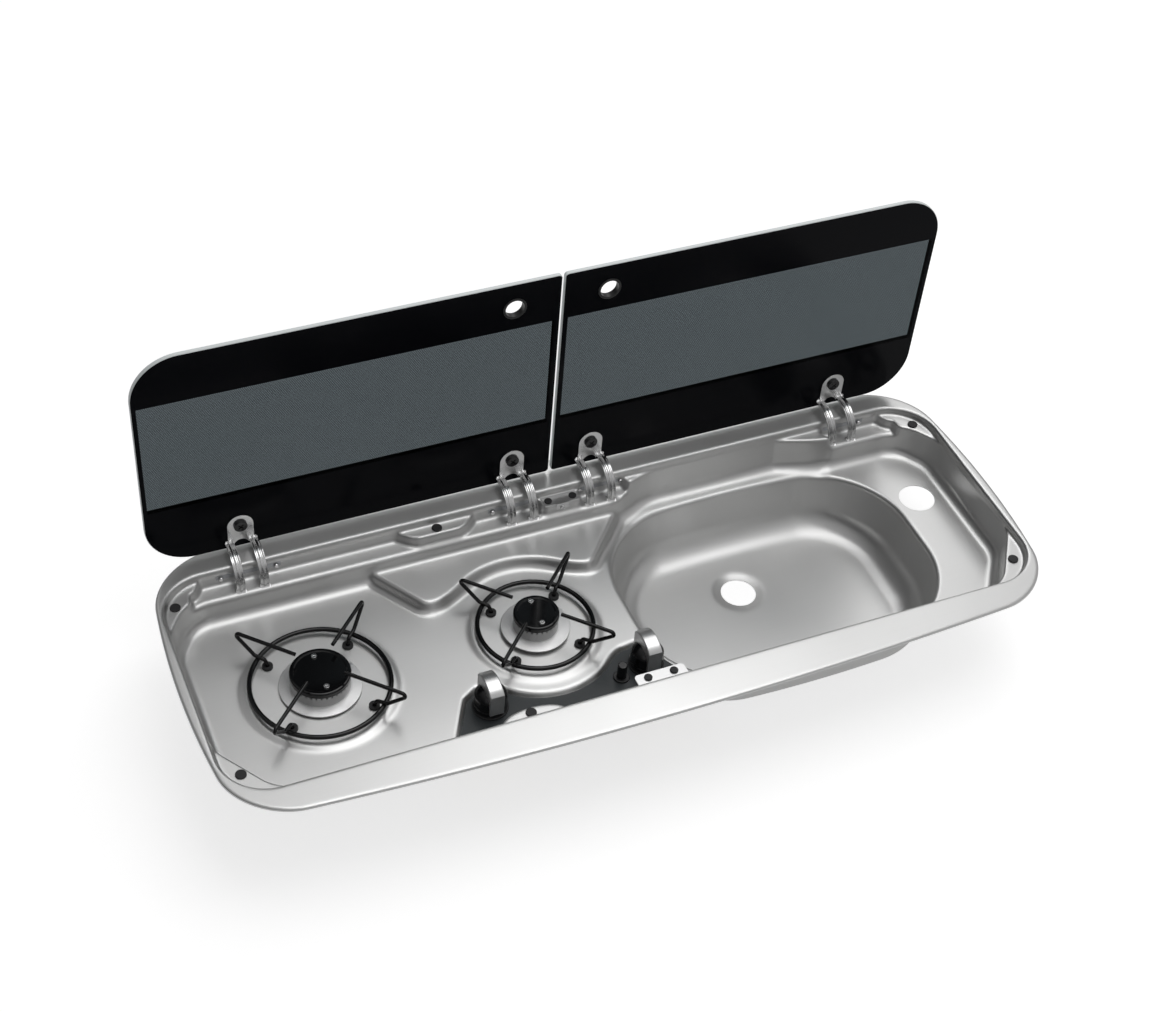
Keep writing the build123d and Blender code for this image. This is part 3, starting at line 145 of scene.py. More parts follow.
WELL_CORNER, PLATEAU_CORNER, POCKET_CORNER = 45.0, 14.0, 7.0
WELL = inset([(-390, -138), (390, -138), (437, -70), (437, 80), (410, 120), (-410, 120), (-437, 80),
              (-437, -70)], WELL_CORNER)
PLATEAU = inset([(-225, 150), (-213, 113), (-178, 60), (8, 60), (60, 118), (60, 150)], PLATEAU_CORNER)
POCKETS = [inset(q, POCKET_CORNER) for q in [
    [(-391, 142), (-404, 122), (-404, 105), (-158, 105), (-166, 126), (-183, 142)],
    [(-95, 142), (-112, 126), (-120, 105), (-22, 105), (-22, 142)],
    [(22, 142), (22, 105), (62, 105), (70, 126), (96, 142)],
    [(303, 142), (329, 123), (333, 105), (404, 105), (404, 122), (391, 142)],
]]
STRIPS = [[(-404, 90), (66, 90), (66, 126), (-404, 126)], [(325, 90), (404, 90), (404, 126), (325, 126)]]
RECESS_PLAN = [(-216, -150), (-203, -104), (-181, -63), (-165, -53), (-139, -56), (-81.5, -60),
               (-20, -54), (26, -48), (90, -60), (90, -150)]
BAY = [(121, 139.4), (262, 139.4), (322, 120), (322, 40), (121, 40)]
BAY_ARC = (121, 40.5, 98.9)
# circles round the small burner that cut the plateau and the recess
PLATEAU_CUT, RECESS_CUT = 94.0, 83.0
MOUTH_Y, MOUTH_HALF, MOUTH_CORNER = 1.0, (438.5, 140.5), 50.0
# notch for the rear bracket and tongue for the left pad: centre, half sizes
NOTCH, NOTCH_HALF, NOTCH_Z = (0, 131), (22, 11), -6.5
TONGUE, TONGUE_HALF = (-137.5, -138.0), (33.5, 14.5)


def plan(x, y):
    """Plan distances that don't change with height."""
    small = BURNERS["small"]
    p = {"flange": bowed(*FLANGE, x, y), "bowl": bowed(*BOWL, x, y)}
    p["mouth"] = rmax(np.abs(x) - MOUTH_HALF[0], np.abs(y - MOUTH_Y) - MOUTH_HALF[1], MOUTH_CORNER)
    p["well"] = poly(WELL, x, y) - WELL_CORNER
    p["pocket"] = np.minimum.reduce([poly(q, x, y) for q in POCKETS]) - POCKET_CORNER
    p["strip"] = np.minimum.reduce([poly(q, x, y) for q in STRIPS])
    p["notch"] = rmax(np.abs(x - NOTCH[0]) - NOTCH_HALF[0], np.abs(y - NOTCH[1]) - NOTCH_HALF[1], 0)
    p["bay"] = np.minimum(disc(*BAY_ARC, x, y), poly(BAY, x, y))
    rise, dip = (-disc(small["x"], small["y"], cut, x, y) for cut in (PLATEAU_CUT, RECESS_CUT))
    p["plateau"] = rmax(poly(PLATEAU, x, y) - PLATEAU_CORNER, rise, 14.0)
    p["recess"] = rmax(poly(RECESS_PLAN, x, y), dip, 7.0)
    for name, b in BURNERS.items():
        p[name] = disc(b["x"], b["y"], b["disc"], x, y)
    p["drain"] = disc(DRAIN[0], DRAIN[1], DRAIN_DISH, x, y)
    ex, ey = (x - TONGUE[0]) / TONGUE_HALF[0], (y - TONGUE[1]) / TONGUE_HALF[1]
    k1, k2 = np.hypot(ex, ey), np.hypot(ex / TONGUE_HALF[0], ey / TONGUE_HALF[1])
    p["tongue"] = k1 * (k1 - 1) / np.maximum(k2, 1e-6)
    return p


def pressing(p, z):
    """Signed distance to the block under the sheet's upper face: negative below the face.

    Each hollow is joined to the space above it and stops a little over the face that it opens in.
    """
    space = rmax(p["well"] + (REST - z) * tand(WELL_WALL), DECK - z, FOOT["well"])
    space = np.maximum(space, z - REST - 1)
    ledge = rmin(p["strip"], p["pocket"], 6.0)
    ledge = rmax(ledge + (REST - z) * tand(LEDGE_WALL), LEDGE - z, FOOT["ledge"])
    space = rmin(space, np.maximum(ledge, z - REST - 1), EDGE["ledge"])
    bay = rmax(p["bay"] + (REST - z) * tand(BAY_WALL), DECK - z, FOOT["bay"])
    space = rmin(space, np.maximum(bay, z - REST - 1), EDGE["bay"])
    shelf = rmax(p["plateau"] - (PLATEAU_TOP - z) * tand(PLATEAU_WALL), z - PLATEAU_TOP, FOOT["plateau"])
    space = rmax(space, -shelf, EDGE["plateau"])
    bowl = rmax(p["bowl"] + (DECK - z) * tand(BOWL_WALL), FLOOR - z, FOOT["bowl"])
    drain = rmax(p["drain"] + (FLOOR - z) * DRAIN_RUN, FLOOR - 2.5 - z, FOOT["drain"])
    bowl = rmin(bowl, np.maximum(drain, z - FLOOR - 3), EDGE["drain"])
    space = rmin(space, np.maximum(bowl, z - DECK - 5), EDGE["bowl"])
    for name in BURNERS:
        raised = rmax((p[name] + (z - DECK) * DISC_RUN) * DISC_SCALE, z - DISC, FOOT["disc"])
        space = rmax(space, -np.maximum(raised, DECK - 5 - z), EDGE["disc"])
    recess = rmax(rmax(p["recess"] + (DECK - z) * RECESS_RUN, p["well"] + 3.0, 6.0), RECESS - z, FOOT["recess"])
    space = rmin(space, np.maximum(recess, z - DECK - 3), EDGE["recess"])
    tongue = rmax(p["tongue"] - (REST - z) * tand(TONGUE_WALL), z - REST, FOOT["tongue"])
    space = rmax(space, -tongue, EDGE["tongue"])
    space = np.minimum(space, np.maximum(np.maximum(p["notch"], NOTCH_Z - z), z - REST - 2))
    mouth = rmax(p["mouth"] + (SEAT_TOP - z) * tand(MOUTH_WALL), REST - z, FOOT["mouth"])
    space = rmin(space, mouth, EDGE["mouth"])
    return rmax(rmax(p["flange"], z - SEAT_TOP, EDGE["lip"]), -space, EDGE["flange"])


def surface_nets(values, origin, step):
    """Vertices and quads of the zero surface of a grid of values."""
    inside = values < 0
    cells = tuple(s - 1 for s in values.shape)
    total = np.zeros(cells + (3,), np.float32)
    count = np.zeros(cells, np.int32)
    crossings = []
    for axis in range(3):
        lo = [slice(None)] * 3
        hi = [slice(None)] * 3
        lo[axis], hi[axis] = slice(None, -1), slice(1, None)
        a, b = values[tuple(lo)], values[tuple(hi)]
        cross = inside[tuple(lo)] != inside[tuple(hi)]
        where = np.argwhere(cross)
        t = (a[cross] / (a[cross] - b[cross])).astype(np.float32)
        point = where.astype(np.float32)
        point[:, axis] += t
        crossings.append((where, inside[tuple(lo)][cross]))
        others = [k for k in range(3) if k != axis]
        for du in (0, 1):
            for dv in (0, 1):
                cell = where.copy()
                cell[:, others[0]] -= du
                cell[:, others[1]] -= dv
                ok = np.all((cell >= 0) & (cell < np.array(cells)), axis=1)
                c = cell[ok]
                flat = np.ravel_multi_index(c.T, cells)
                np.add.at(count.reshape(-1), flat, 1)
                np.add.at(total.reshape(-1, 3), flat, point[ok])
    active = count.reshape(-1) > 0
    index = np.full(active.size, -1, np.int64)
    index[active] = np.arange(active.sum())
    verts = total.reshape(-1, 3)[active] / count.reshape(-1)[active][:, None]
    quads = []
    for axis, (where, first) in enumerate(crossings):
        u, v = [k for k in range(3) if k != axis]
        if axis == 1:
            u, v = v, u
        ok = (where[:, u] > 0) & (where[:, v] > 0) & (where[:, u] < cells[u]) & (where[:, v] < cells[v])
        w, f = where[ok], first[ok]
        ring = []
        for du, dv in ((1, 1), (0, 1), (0, 0), (1, 0)):
            c = w.copy()
            c[:, u] -= du
            c[:, v] -= dv
            ring.append(index[np.ravel_multi_index(c.T, cells)])
        q = np.stack(ring, 1)
        q[~f] = q[~f][:, ::-1]
        quads.append(q)
    return verts.astype(np.float64) * step + np.array(origin), np.concatenate(quads)


def soften(values, sigma):
    """Blur the grid by sigma cells, so that every bend gets a soft radius."""
    reach = int(np.ceil(2.5 * sigma))
    weights = np.exp(-0.5 * (np.arange(-reach, reach + 1) / sigma) ** 2)
    weights = (weights / weights.sum()).astype(np.float32)
    for axis in range(3):
        padded = np.pad(values, [(reach, reach) if k == axis else (0, 0) for k in range(3)], mode="edge")
        values = np.zeros_like(values)
        for k, weight in enumerate(weights):
            part = [slice(None)] * 3
            part[axis] = slice(k, k + values.shape[axis])
            values += weight * padded[tuple(part)]
    return values


def sample(grid, origin, step, points):
    """Trilinear value of the grid at points."""
    q = (points - origin) / step
    i = np.clip(np.floor(q).astype(np.int64), 0, np.array(grid.shape) - 2)
    f = q - i
    out = 0.0
    for dx in (0, 1):
        for dy in (0, 1):
            for dz in (0, 1):
                w = np.where(dx, f[:, 0], 1 - f[:, 0]) * np.where(dy, f[:, 1], 1 - f[:, 1]) \
                    * np.where(dz, f[:, 2], 1 - f[:, 2])
                out = out + w * grid[i[:, 0] + dx, i[:, 1] + dy, i[:, 2] + dz]
    return out


def open_edges(quads):
    """Directed edges that only one face has."""
    e = np.concatenate([quads[:, [k, (k + 1) % 4]] for k in range(4)])
    _, first, count = np.unique(np.sort(e, 1), axis=0, return_index=True, return_counts=True)
    return e[first[count == 1]]


# bend that the blur gives, grid steps of the full and the quick mesh, and the grid's ends
SOFTEN, STEP, QUICK_STEP = 1.15, 1.5, 2.5
GRID = [(-453.0, 453.1), (-188.0, 188.1), (-119.0, 6.0)]


def build_pan(step):
    """Vertices, normals and quads of the sheet's upper face, its holes cut."""
    x, y, z = [np.arange(low, high, step) for low, high in GRID]
    p = plan(x[:, None], y[None, :])
    flat = {k: np.broadcast_to(v, (x.size, y.size))[:, :, None].astype(np.float32) for k, v in p.items()}
    values = soften(pressing(flat, z[None, None, :].astype(np.float32)), SOFTEN / step)
    origin = np.array((x[0], y[0], z[0]))
    verts, quads = surface_nets(values, origin, step)

    def gradient(v):
        """Slope of the blurred grid at points."""
        e = 0.8 * step
        ahead, behind = ([sample(values, origin, step, v + np.eye(3)[k] * d) for k in range(3)] for d in (e, -e))
        return np.stack([(a - b) / (2 * e) for a, b in zip(ahead, behind)], 1)

    for _ in range(2):
        value, grad = sample(values, origin, step, verts), gradient(verts)
        move = value[:, None] * grad / np.maximum((grad ** 2).sum(1), 0.2)[:, None]
        length = np.linalg.norm(move, axis=1)
        verts -= move * np.minimum(1, 0.8 / np.maximum(length, 1e-9))[:, None]

    # the flange's lip ends at the seat
    centre = verts[quads].mean(1)
    outline = bowed(*FLANGE, centre[:, 0], centre[:, 1])
    quads = quads[~((centre[:, 2] < 0.0) & (outline > -6))]
    edge = np.unique(open_edges(quads))
    edge = edge[verts[edge][:, 2] < SEAT_TOP]
    verts[edge, 2] = 0.0

    def cut(distance, level, reach):
        """Open a hole in the face near a level, its rim drawn onto the outline."""
        nonlocal quads
        centre = verts[quads].mean(1)
        near = np.abs(centre[:, 2] - level) < reach
        gone = near & (distance(centre[:, 0], centre[:, 1]) < 0)
        lost = np.unique(quads[gone])
        quads = quads[~gone]
        rim = np.intersect1d(lost, np.unique(quads))
        for _ in range(3):
            v = verts[rim]
            d = distance(v[:, 0], v[:, 1])
            e = 0.01
            gx = (distance(v[:, 0] + e, v[:, 1]) - d) / e
            gy = (distance(v[:, 0], v[:, 1] + e) - d) / e
            verts[rim, 0] -= d * gx
            verts[rim, 1] -= d * gy

    necks = [(b["x"], b["y"], b["neck"] + NECK_GAP) for b in BURNERS.values()]
    holes = [(TAP_HOLE, DECK, 4), (DRAIN, FLOOR - 1, 5)] + [(neck, DISC, 3) for neck in necks]
    holes += [(hole, RECESS, 3) for hole in TAPS + [IGNITER]]
    for hole, level, reach in holes:
        cut(lambda u, v: disc(*hole, u, v), level, reach)
    for slot_x in (hx + side for hx in HINGES for side in (-ARM_SHIFT, ARM_SHIFT)):
        cut(lambda u, v: np.maximum(np.abs(u - slot_x) - SLOT_HALF[0], np.abs(v - SLOT_Y) - SLOT_HALF[1]), LEDGE, 4)

    grad = gradient(verts)
    normal = grad / np.linalg.norm(grad, axis=1)[:, None]
    used, inverse = np.unique(quads, return_inverse=True)
    quads = inverse.reshape(-1, 4)
    verts, normal = verts[used], normal[used]
    return verts, normal, quads


def pan_object():
    """The pressed sheet as one closed mesh: upper face, under face and cut edges."""
    verts, normal, quads = build_pan(STEP)
    n = len(verts)
    rim = open_edges(quads)
    both = np.concatenate([verts, verts - normal * SHEET])
    walls = np.stack([rim[:, 1], rim[:, 0], rim[:, 0] + n, rim[:, 1] + n], 1)
    faces = np.concatenate([quads, quads[:, ::-1] + n, walls])
    mesh = bpy.data.meshes.new("pressed_top")
    mesh.vertices.add(len(both))
    mesh.vertices.foreach_set("co", (both / 1000).astype(np.float32).ravel())
    mesh.loops.add(faces.size)
    mesh.loops.foreach_set("vertex_index", faces.astype(np.int32).ravel())
    mesh.polygons.add(len(faces))
    mesh.polygons.foreach_set("loop_start", np.arange(0, faces.size, 4, dtype=np.int32))
    mesh.polygons.foreach_set("use_smooth", np.ones(len(faces), bool))
    mesh.update(calc_edges=True)
    corner = both[walls]
    flat = np.cross(corner[:, 1] - corner[:, 0], corner[:, 3] - corner[:, 0])
    flat /= np.maximum(np.linalg.norm(flat, axis=1), 1e-9)[:, None]
    loops = np.concatenate([normal[quads].reshape(-1, 3), -normal[quads[:, ::-1]].reshape(-1, 3),
                            np.repeat(flat, 4, axis=0)])
    mesh.normals_split_custom_set(loops.astype(np.float32))
    obj = bpy.data.objects.new("pressed_top", mesh)
    bpy.context.scene.collection.objects.link(obj)
    return obj


# ------------------------------------------------------------ materials
class Mat:
    """Small helper that builds one node material."""

    def __init__(self, name, **values):
        self.m = bpy.data.materials.new(name)
        self.m.use_nodes = True
        self.t = self.m.node_tree
        self.out = self.t.nodes["Material Output"]
        self.b = self.t.nodes["Principled BSDF"]
        for key, value in values.items():
            self.b.inputs[key.replace("_", " ")].default_value = value

    def node(self, kind, **props):
        n = self.t.nodes.new(kind)
        inputs = props.pop("inputs", {})
        for k, v in props.items():
            setattr(n, k, v)
        for k, v in inputs.items():
            if isinstance(v, bpy.types.NodeSocket):
                self.t.links.new(v, n.inputs[k])
            else:
                n.inputs[k].default_value = v
        return n

    def link(self, a, b):
        self.t.links.new(a, b)

    def noise(self, grain, detail, rough):
        """Noise with its own count of features to the metre along each axis."""
        place = self.node("ShaderNodeTexCoord").outputs["Object"]
        vector = self.node("ShaderNodeMapping", inputs={0: place, "Scale": grain}).outputs[0]
        return self.node("ShaderNodeTexNoise", inputs={"Vector": vector, "Scale": 1.0, "Detail": detail,
                                                       "Roughness": rough}).outputs["Fac"]

    def remap(self, value, lo, hi, a, b):
        return self.node("ShaderNodeMapRange", inputs={"Value": value, "From Min": a, "From Max": b,
                                                       "To Min": lo, "To Max": hi}).outputs[0]

    def math(self, op, a, b=0.0, c=0.0):
        return self.node("ShaderNodeMath", operation=op, inputs={0: a, 1: b, 2: c}).outputs[0]

    def bump(self, height, strength, distance, normal):
        n = self.node("ShaderNodeBump", inputs={"Height": height, "Strength": strength,
                                                "Distance": distance})
        if normal is not None:
            self.link(normal, n.inputs["Normal"])
        return n.outputs[0]

    def soft_edges(self, radius):
        return self.node("ShaderNodeBevel", samples=4, inputs={"Radius": radius}).outputs[0]

    def mix(self, fac, a, b):
        n = self.node("ShaderNodeMix", data_type="RGBA")
        for k, v in ((0, fac), (6, a), (7, b)):
            if isinstance(v, bpy.types.NodeSocket):
                self.link(v, n.inputs[k])
            else:
                n.inputs[k].default_value = v
        return n.outputs[2]

    def tone(self, fac, base, dark, light):
        """Base colour that a pattern darkens and lightens a little."""
        return self.mix(fac, (*[c * dark for c in base], 1), (*[c * light for c in base], 1))

    def finish(self, color, rough, normal):
        for key, value in (("Base Color", color), ("Roughness", rough), ("Normal", normal)):
            if value is not None:
                self.link(value, self.b.inputs[key])
        return self.m


def brushed(name, base, low, high, grain=(12, 900, 900), bump=0.05, edges=None):
    """Bright metal with brush marks."""
    m = Mat(name, Metallic=1.0, Base_Color=(*base, 1))
    streak = m.noise(grain, 4.0, 0.6)
    cloud = m.noise((9, 9, 9), 3.0, 0.5)
    mixed = m.math("MULTIPLY_ADD", cloud, 0.4, m.math("MULTIPLY", streak, 0.6))
    shade = m.tone(m.remap(streak, 0.0, 1.0, 0.3, 0.7), base, 0.93, 1.04)
    normal = m.bump(streak, bump, 0.0001, m.soft_edges(edges) if edges else None)
    return m.finish(shade, m.remap(mixed, low, high, 0.3, 0.7), normal)


def satin(name, base, low, high, grain=(14, 1400, 1400), edges=None, along=0.0, metal=0.85):
    """Metal with a fine grain under a soft sheen, stretched across the grain by along."""
    m = Mat(name, Metallic=metal, Base_Color=(*base, 1), Anisotropic=along)
    if along:
        m.link(m.node("ShaderNodeCombineXYZ", inputs={"Y": 1.0}).outputs[0], m.b.inputs["Tangent"])
    streak = m.noise(grain, 3.0, 0.5)
    cloud = m.noise((7, 7, 7), 2.0, 0.5)
    mixed = m.math("MULTIPLY_ADD", cloud, 0.8, m.math("MULTIPLY", streak, 0.2))
    normal = m.bump(streak, 0.012, 0.00005, m.soft_edges(edges) if edges else None)
    return m.finish(m.tone(streak, base, 0.975, 1.02), m.remap(mixed, low, high, 0.3, 0.7), normal)


def turned(name, base, low, high):
    """Metal turned on a lathe, with fine rings."""
    m = Mat(name, Metallic=1.0, Base_Color=(*base, 1))
    ring = m.noise((0.02, 0.02, 2600.0), 2.0, 0.5)
    speck = m.noise((700, 700, 700), 2.0, 0.5)
    rough = m.remap(m.math("ADD", ring, speck), low, high, 0.7, 1.3)
    return m.finish(None, rough, m.bump(ring, 0.15, 0.0001, m.soft_edges(0.0004)))


def moulded(name, base, low, high, grain=2500.0, bump=0.05, edges=0.0005, **values):
    """Plastic, rubber, enamel or paint with a fine skin."""
    m = Mat(name, Base_Color=(*base, 1), **values)
    skin = m.noise((grain, grain, grain), 2.0, 0.5)
    cloud = m.noise((60, 60, 60), 3.0, 0.6)
    mixed = m.math("MULTIPLY_ADD", cloud, 0.7, m.math("MULTIPLY", skin, 0.3))
    normal = m.bump(skin, bump, 0.00005, m.soft_edges(edges))
    return m.finish(m.tone(cloud, base, 0.8, 1.2), m.remap(mixed, low, high, 0.25, 0.75), normal)


# ribs of the hinge arms, in metres: pitch, reach from the arm's middle, upper end, height
RIB_PITCH, RIB_REACH, RIB_TOP, RIB_HEIGHT = 0.0042, 0.0050, 0.020, 0.00022


def ribbed(name, base, low, high):
    """Polished hinge arms with ribs rolled along them."""
    m = Mat(name, Metallic=1.0, Base_Color=(*base, 1))
    s = m.node("ShaderNodeSeparateXYZ", inputs={0: m.node("ShaderNodeTexCoord").outputs["Object"]})
    ax = m.math("ABSOLUTE", s.outputs["X"])
    off = None
    for hx in HINGES[2:]:
        for arm in (-ARM_SHIFT, ARM_SHIFT):
            d = m.math("ABSOLUTE", m.math("SUBTRACT", ax, (hx + arm) / 1000))
            off = d if off is None else m.math("MINIMUM", off, d)
    wave = m.math("COSINE", m.math("MULTIPLY", off, 2 * math.pi / RIB_PITCH))
    wave = m.math("MULTIPLY", wave, m.math("LESS_THAN", off, RIB_REACH))
    wave = m.math("MULTIPLY", wave, m.math("LESS_THAN", s.outputs["Z"], RIB_TOP))
    speck = m.noise((300, 300, 300), 3.0, 0.5)
    normal = m.bump(wave, 1.0, RIB_HEIGHT, m.soft_edges(0.0005))
    return m.finish(m.tone(speck, base, 0.96, 1.03), m.remap(speck, low, high, 0.3, 0.7), normal)


# printed glass, in metres: ends of the see-through field along and up the lid, the dots, the pane's middle
FIELD_X, FIELD_Z = (0.0075, 0.4305), (0.0795, 0.2165)
DOT_PITCH, DOT_ROW, DOT_SIZE = 0.0020, 0.866, 0.33
GLASS_MIDDLE = (LID_FACE + GLASS_T / 2) / 1000


def printed_glass(name, side):
    """Toughened glass: black borders, a dotted see-through field, light polished edges."""
    m = Mat(name, Base_Color=(0.0030, 0.0034, 0.0050, 1), Roughness=0.16, Specular_IOR_Level=0.05)
    spot = m.node("ShaderNodeTexCoord")
    x, y, z = m.node("ShaderNodeSeparateXYZ", inputs={0: spot.outputs["Object"]}).outputs
    ax = m.math("MULTIPLY", x, float(side))
    field = m.math("MULTIPLY", m.math("GREATER_THAN", ax, FIELD_X[0]), m.math("LESS_THAN", ax, FIELD_X[1]))
    field = m.math("MULTIPLY", field, m.math("GREATER_THAN", z, FIELD_Z[0]))
    field = m.math("MULTIPLY", field, m.math("LESS_THAN", z, FIELD_Z[1]))
    # dots on a staggered grid
    height = m.math("DIVIDE", z, DOT_PITCH * DOT_ROW)
    row = m.math("ABSOLUTE", m.math("FLOOR", height))
    shift = m.math("MULTIPLY", m.math("MODULO", row, 2.0), 0.5)
    u = m.math("SUBTRACT", m.math("FRACT", m.math("ADD", m.math("DIVIDE", x, DOT_PITCH), shift)), 0.5)
    v = m.math("SUBTRACT", m.math("FRACT", height), 0.5)
    v2 = m.math("MULTIPLY", m.math("MULTIPLY", v, v), 0.75)
    r = m.math("SQRT", m.math("ADD", m.math("MULTIPLY", u, u), v2))
    dot = m.math("LESS_THAN", r, DOT_SIZE)
    front = m.math("LESS_THAN", y, GLASS_MIDDLE)
    tint = m.mix(dot, (0.040, 0.047, 0.050, 1), (0.105, 0.125, 0.135, 1))
    tint = m.mix(front, (1, 1, 1, 1), tint)
    clear = m.node("ShaderNodeBsdfTransparent", inputs={"Color": tint})
    gloss = m.node("ShaderNodeBsdfGlossy", inputs={"Color": (0.8, 0.85, 0.87, 1), "Roughness": 0.16})
    fres = m.node("ShaderNodeFresnel", inputs={"IOR": 1.1}).outputs[0]
    pane = m.node("ShaderNodeMixShader", inputs={0: fres, 1: clear.outputs[0], 2: gloss.outputs[0]})
    face = m.node("ShaderNodeMixShader", inputs={0: field, 1: m.b.outputs[0], 2: pane.outputs[0]})
    across = m.node("ShaderNodeSeparateXYZ", inputs={0: spot.outputs["Normal"]}).outputs["Y"]
    is_face = m.math("GREATER_THAN", m.math("ABSOLUTE", across), 0.97)
    edge = m.node("ShaderNodeBsdfPrincipled", inputs={"Base Color": (0.74, 0.78, 0.78, 1), "Roughness": 0.3})
    whole = m.node("ShaderNodeMixShader", inputs={0: is_face, 1: edge.outputs[0], 2: face.outputs[0]})
    m.link(whole.outputs[0], m.out.inputs["Surface"])
    return m.m


MATS = {
    "stainless": satin("stainless", (0.68, 0.68, 0.675), 0.32, 0.38, along=0.75, metal=0.90),
    "polished_steel": brushed("polished_steel", (0.74, 0.74, 0.74), 0.18, 0.30, (300, 300, 300), 0.03,
                              0.0005),
    "arm_steel": ribbed("arm_steel", (0.76, 0.76, 0.76), 0.14, 0.24),
    "zinc_steel": brushed("zinc_steel", (0.50, 0.51, 0.53), 0.28, 0.42, (150, 150, 150), 0.05, 0.0004),
    "black_rubber": moulded("black_rubber", (0.018, 0.018, 0.019), 0.5, 0.75, 3000, 0.3),
    "black_wire": moulded("black_wire", (0.003, 0.003, 0.0032), 0.14, 0.22, 2500, 0.03, 0.0,
                          Specular_IOR_Level=0.45),
    "black_enamel": moulded("black_enamel", (0.004, 0.004, 0.0045), 0.06, 0.12, 900, 0.02, 0.0004),
    "burner_alloy": satin("burner_alloy", (0.84, 0.84, 0.84), 0.38, 0.44, (300, 300, 300), metal=0.75),
    "ring_alloy": satin("ring_alloy", (0.42, 0.42, 0.42), 0.30, 0.36, (300, 300, 300)),
    "cup_alloy": brushed("cup_alloy", (0.42, 0.42, 0.43), 0.45, 0.62, (900, 900, 900), 0.3),
    "brass": turned("brass", (0.72, 0.52, 0.24), 0.25, 0.40),
    "panel_grey": moulded("panel_grey", (0.027, 0.032, 0.035), 0.32, 0.42, 4000, 0.12, 0.0003),
    "knob_black": moulded("knob_black", (0.006, 0.006, 0.0065), 0.10, 0.20, 1500, 0.02, 0.0006),
    "knob_silver": satin("knob_silver", (0.70, 0.70, 0.70), 0.26, 0.32, (1500, 40, 1500), 0.0007),
    "bracket_steel": satin("bracket_steel", (0.72, 0.72, 0.72), 0.26, 0.34, (400, 400, 400), 0.0004),
    "black_plastic": moulded("black_plastic", (0.012, 0.012, 0.013), 0.25, 0.40, 3000, 0.12),
    "ceramic": moulded("ceramic", (0.80, 0.79, 0.74), 0.20, 0.32, 1200, 0.03),
    "copper_lead": moulded("copper_lead", (0.030, 0.030, 0.030), 0.4, 0.6, 2500, 0.1, 0.0),
}
# nodes that look other than their slot says, by how their names start
OWN_LOOK = {"hinge_arm": "arm_steel", "rear_pad_bracket": "bracket_steel", "front_pad_bracket": "bracket_steel",
            "burner_skirt": "burner_alloy", "burner_ring": "ring_alloy"}
for entry in frame["record"]["subparts"]:
    node, name = entry["node"], entry["material_slot"]
    if name == "dark_glass":
        m = printed_glass("dark_glass_" + node, -1 if node.endswith("left") else 1)
    else:
        own = [look for start, look in OWN_LOOK.items() if node.startswith(start)]
        m = MATS[(own + [name])[0]]
    data = nodes[node].data
    data.materials.clear()
    data.materials.append(m)

# ------------------------------------------------------------ the pressed top
pan = pan_object()
pan.data.materials.append(MATS["stainless"])
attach(pan, "sink")
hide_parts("pan")

# ------------------------------------------------------------ camera, floor and light
cam = bpy.data.cameras.new("camera")
cam.lens, cam.sensor_width, cam.clip_end = 61.96, 36.0, 50.0
camera = bpy.data.objects.new("camera", cam)
right, up, back = (0.9182, -0.3900, 0.0692), (0.2289, 0.6651, 0.7108), (-0.3232, -0.6369, 0.6999)
turn = Matrix((right, up, back)).transposed().to_4x4()
camera.matrix_world = Matrix.Translation((-0.6734, -1.2612, 1.5041)) @ turn
bpy.context.scene.collection.objects.link(camera)
bpy.context.scene.camera = camera

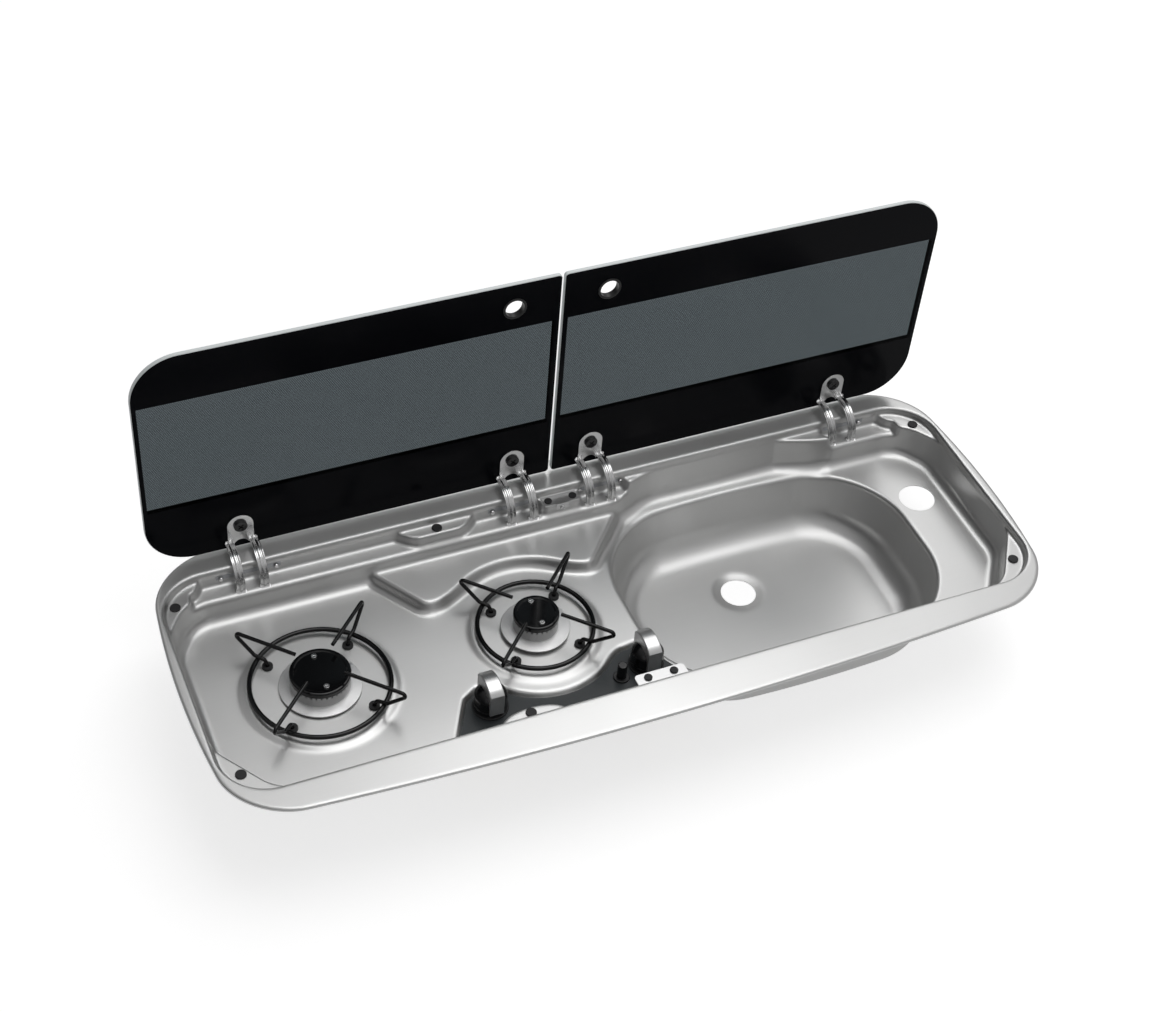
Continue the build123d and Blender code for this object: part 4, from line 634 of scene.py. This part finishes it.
# the floor lies just under the bowl; its glow shows to the camera, and by half to shiny metal
FLOOR_Z, FLOOR_HALF, FLOOR_GLOW = -0.1172, 9, 0.66
floor_mesh = bpy.data.meshes.new("floor")
corners = [(x * FLOOR_HALF, y * FLOOR_HALF, FLOOR_Z) for x, y in ((-1, -1), (1, -1), (1, 1), (-1, 1))]
floor_mesh.from_pydata(corners, [], [(0, 1, 2, 3)])
floor = bpy.data.objects.new("floor", floor_mesh)
bpy.context.scene.collection.objects.link(floor)
ground = Mat("floor_white", Base_Color=(0.60, 0.60, 0.60, 1), Roughness=0.9, Specular_IOR_Level=0.0)
path = ground.node("ShaderNodeLightPath")
ray = ground.math("MAXIMUM", path.outputs["Is Camera Ray"],
                  ground.math("MULTIPLY", path.outputs["Is Glossy Ray"], 0.5))
ground.b.inputs["Emission Color"].default_value = (1, 1, 1, 1)
ground.link(ground.math("MULTIPLY", ray, FLOOR_GLOW), ground.b.inputs["Emission Strength"])
floor_mesh.materials.append(ground.m)


def softbox(name, place, size, power):
    """Rectangular lamp that faces the part."""
    light = bpy.data.lights.new(name, "AREA")
    light.shape, light.size, light.size_y = "RECTANGLE", size[0], size[1]
    light.energy = power
    obj = bpy.data.objects.new(name, light)
    obj.location = place
    obj.rotation_euler = (-Vector(place)).to_track_quat("-Z", "Y").to_euler()
    bpy.context.scene.collection.objects.link(obj)


softbox("key", (0.45, 0.15, 2.4), (2.0, 1.8), 20)
softbox("back", (1.35, 1.95, 2.2), (1.9, 1.4), 9)
softbox("front", (-1.4, -2.0, 2.0), (2.6, 1.6), 2.5)

# dark studio that brightens upward and to the right; the camera sees it white
RAMP_LEAN = 0.45
world = bpy.data.worlds.new("studio")
bpy.context.scene.world = world
world.use_nodes = True
wt = world.node_tree
bg = wt.nodes["Background"]
coord = wt.nodes.new("ShaderNodeTexCoord")
sep = wt.nodes.new("ShaderNodeSeparateXYZ")
wt.links.new(coord.outputs["Generated"], sep.inputs[0])
ramp = wt.nodes.new("ShaderNodeValToRGB")
for stop, color in zip(ramp.color_ramp.elements, ((0.05, 0.05, 0.052, 1), (0.52, 0.52, 0.52, 1))):
    stop.color = color
side = wt.nodes.new("ShaderNodeMath")
side.operation = "MULTIPLY_ADD"
side.inputs[1].default_value = RAMP_LEAN
wt.links.new(sep.outputs["X"], side.inputs[0])
wt.links.new(sep.outputs["Z"], side.inputs[2])
wt.links.new(side.outputs[0], ramp.inputs[0])
path = wt.nodes.new("ShaderNodeLightPath")
blend = wt.nodes.new("ShaderNodeMix")
blend.data_type = "RGBA"
wt.links.new(path.outputs["Is Camera Ray"], blend.inputs[0])
wt.links.new(ramp.outputs["Color"], blend.inputs[6])
blend.inputs[7].default_value = (1, 1, 1, 1)
wt.links.new(blend.outputs[2], bg.inputs["Color"])
bpy.context.scene.view_settings.view_transform = "Standard"
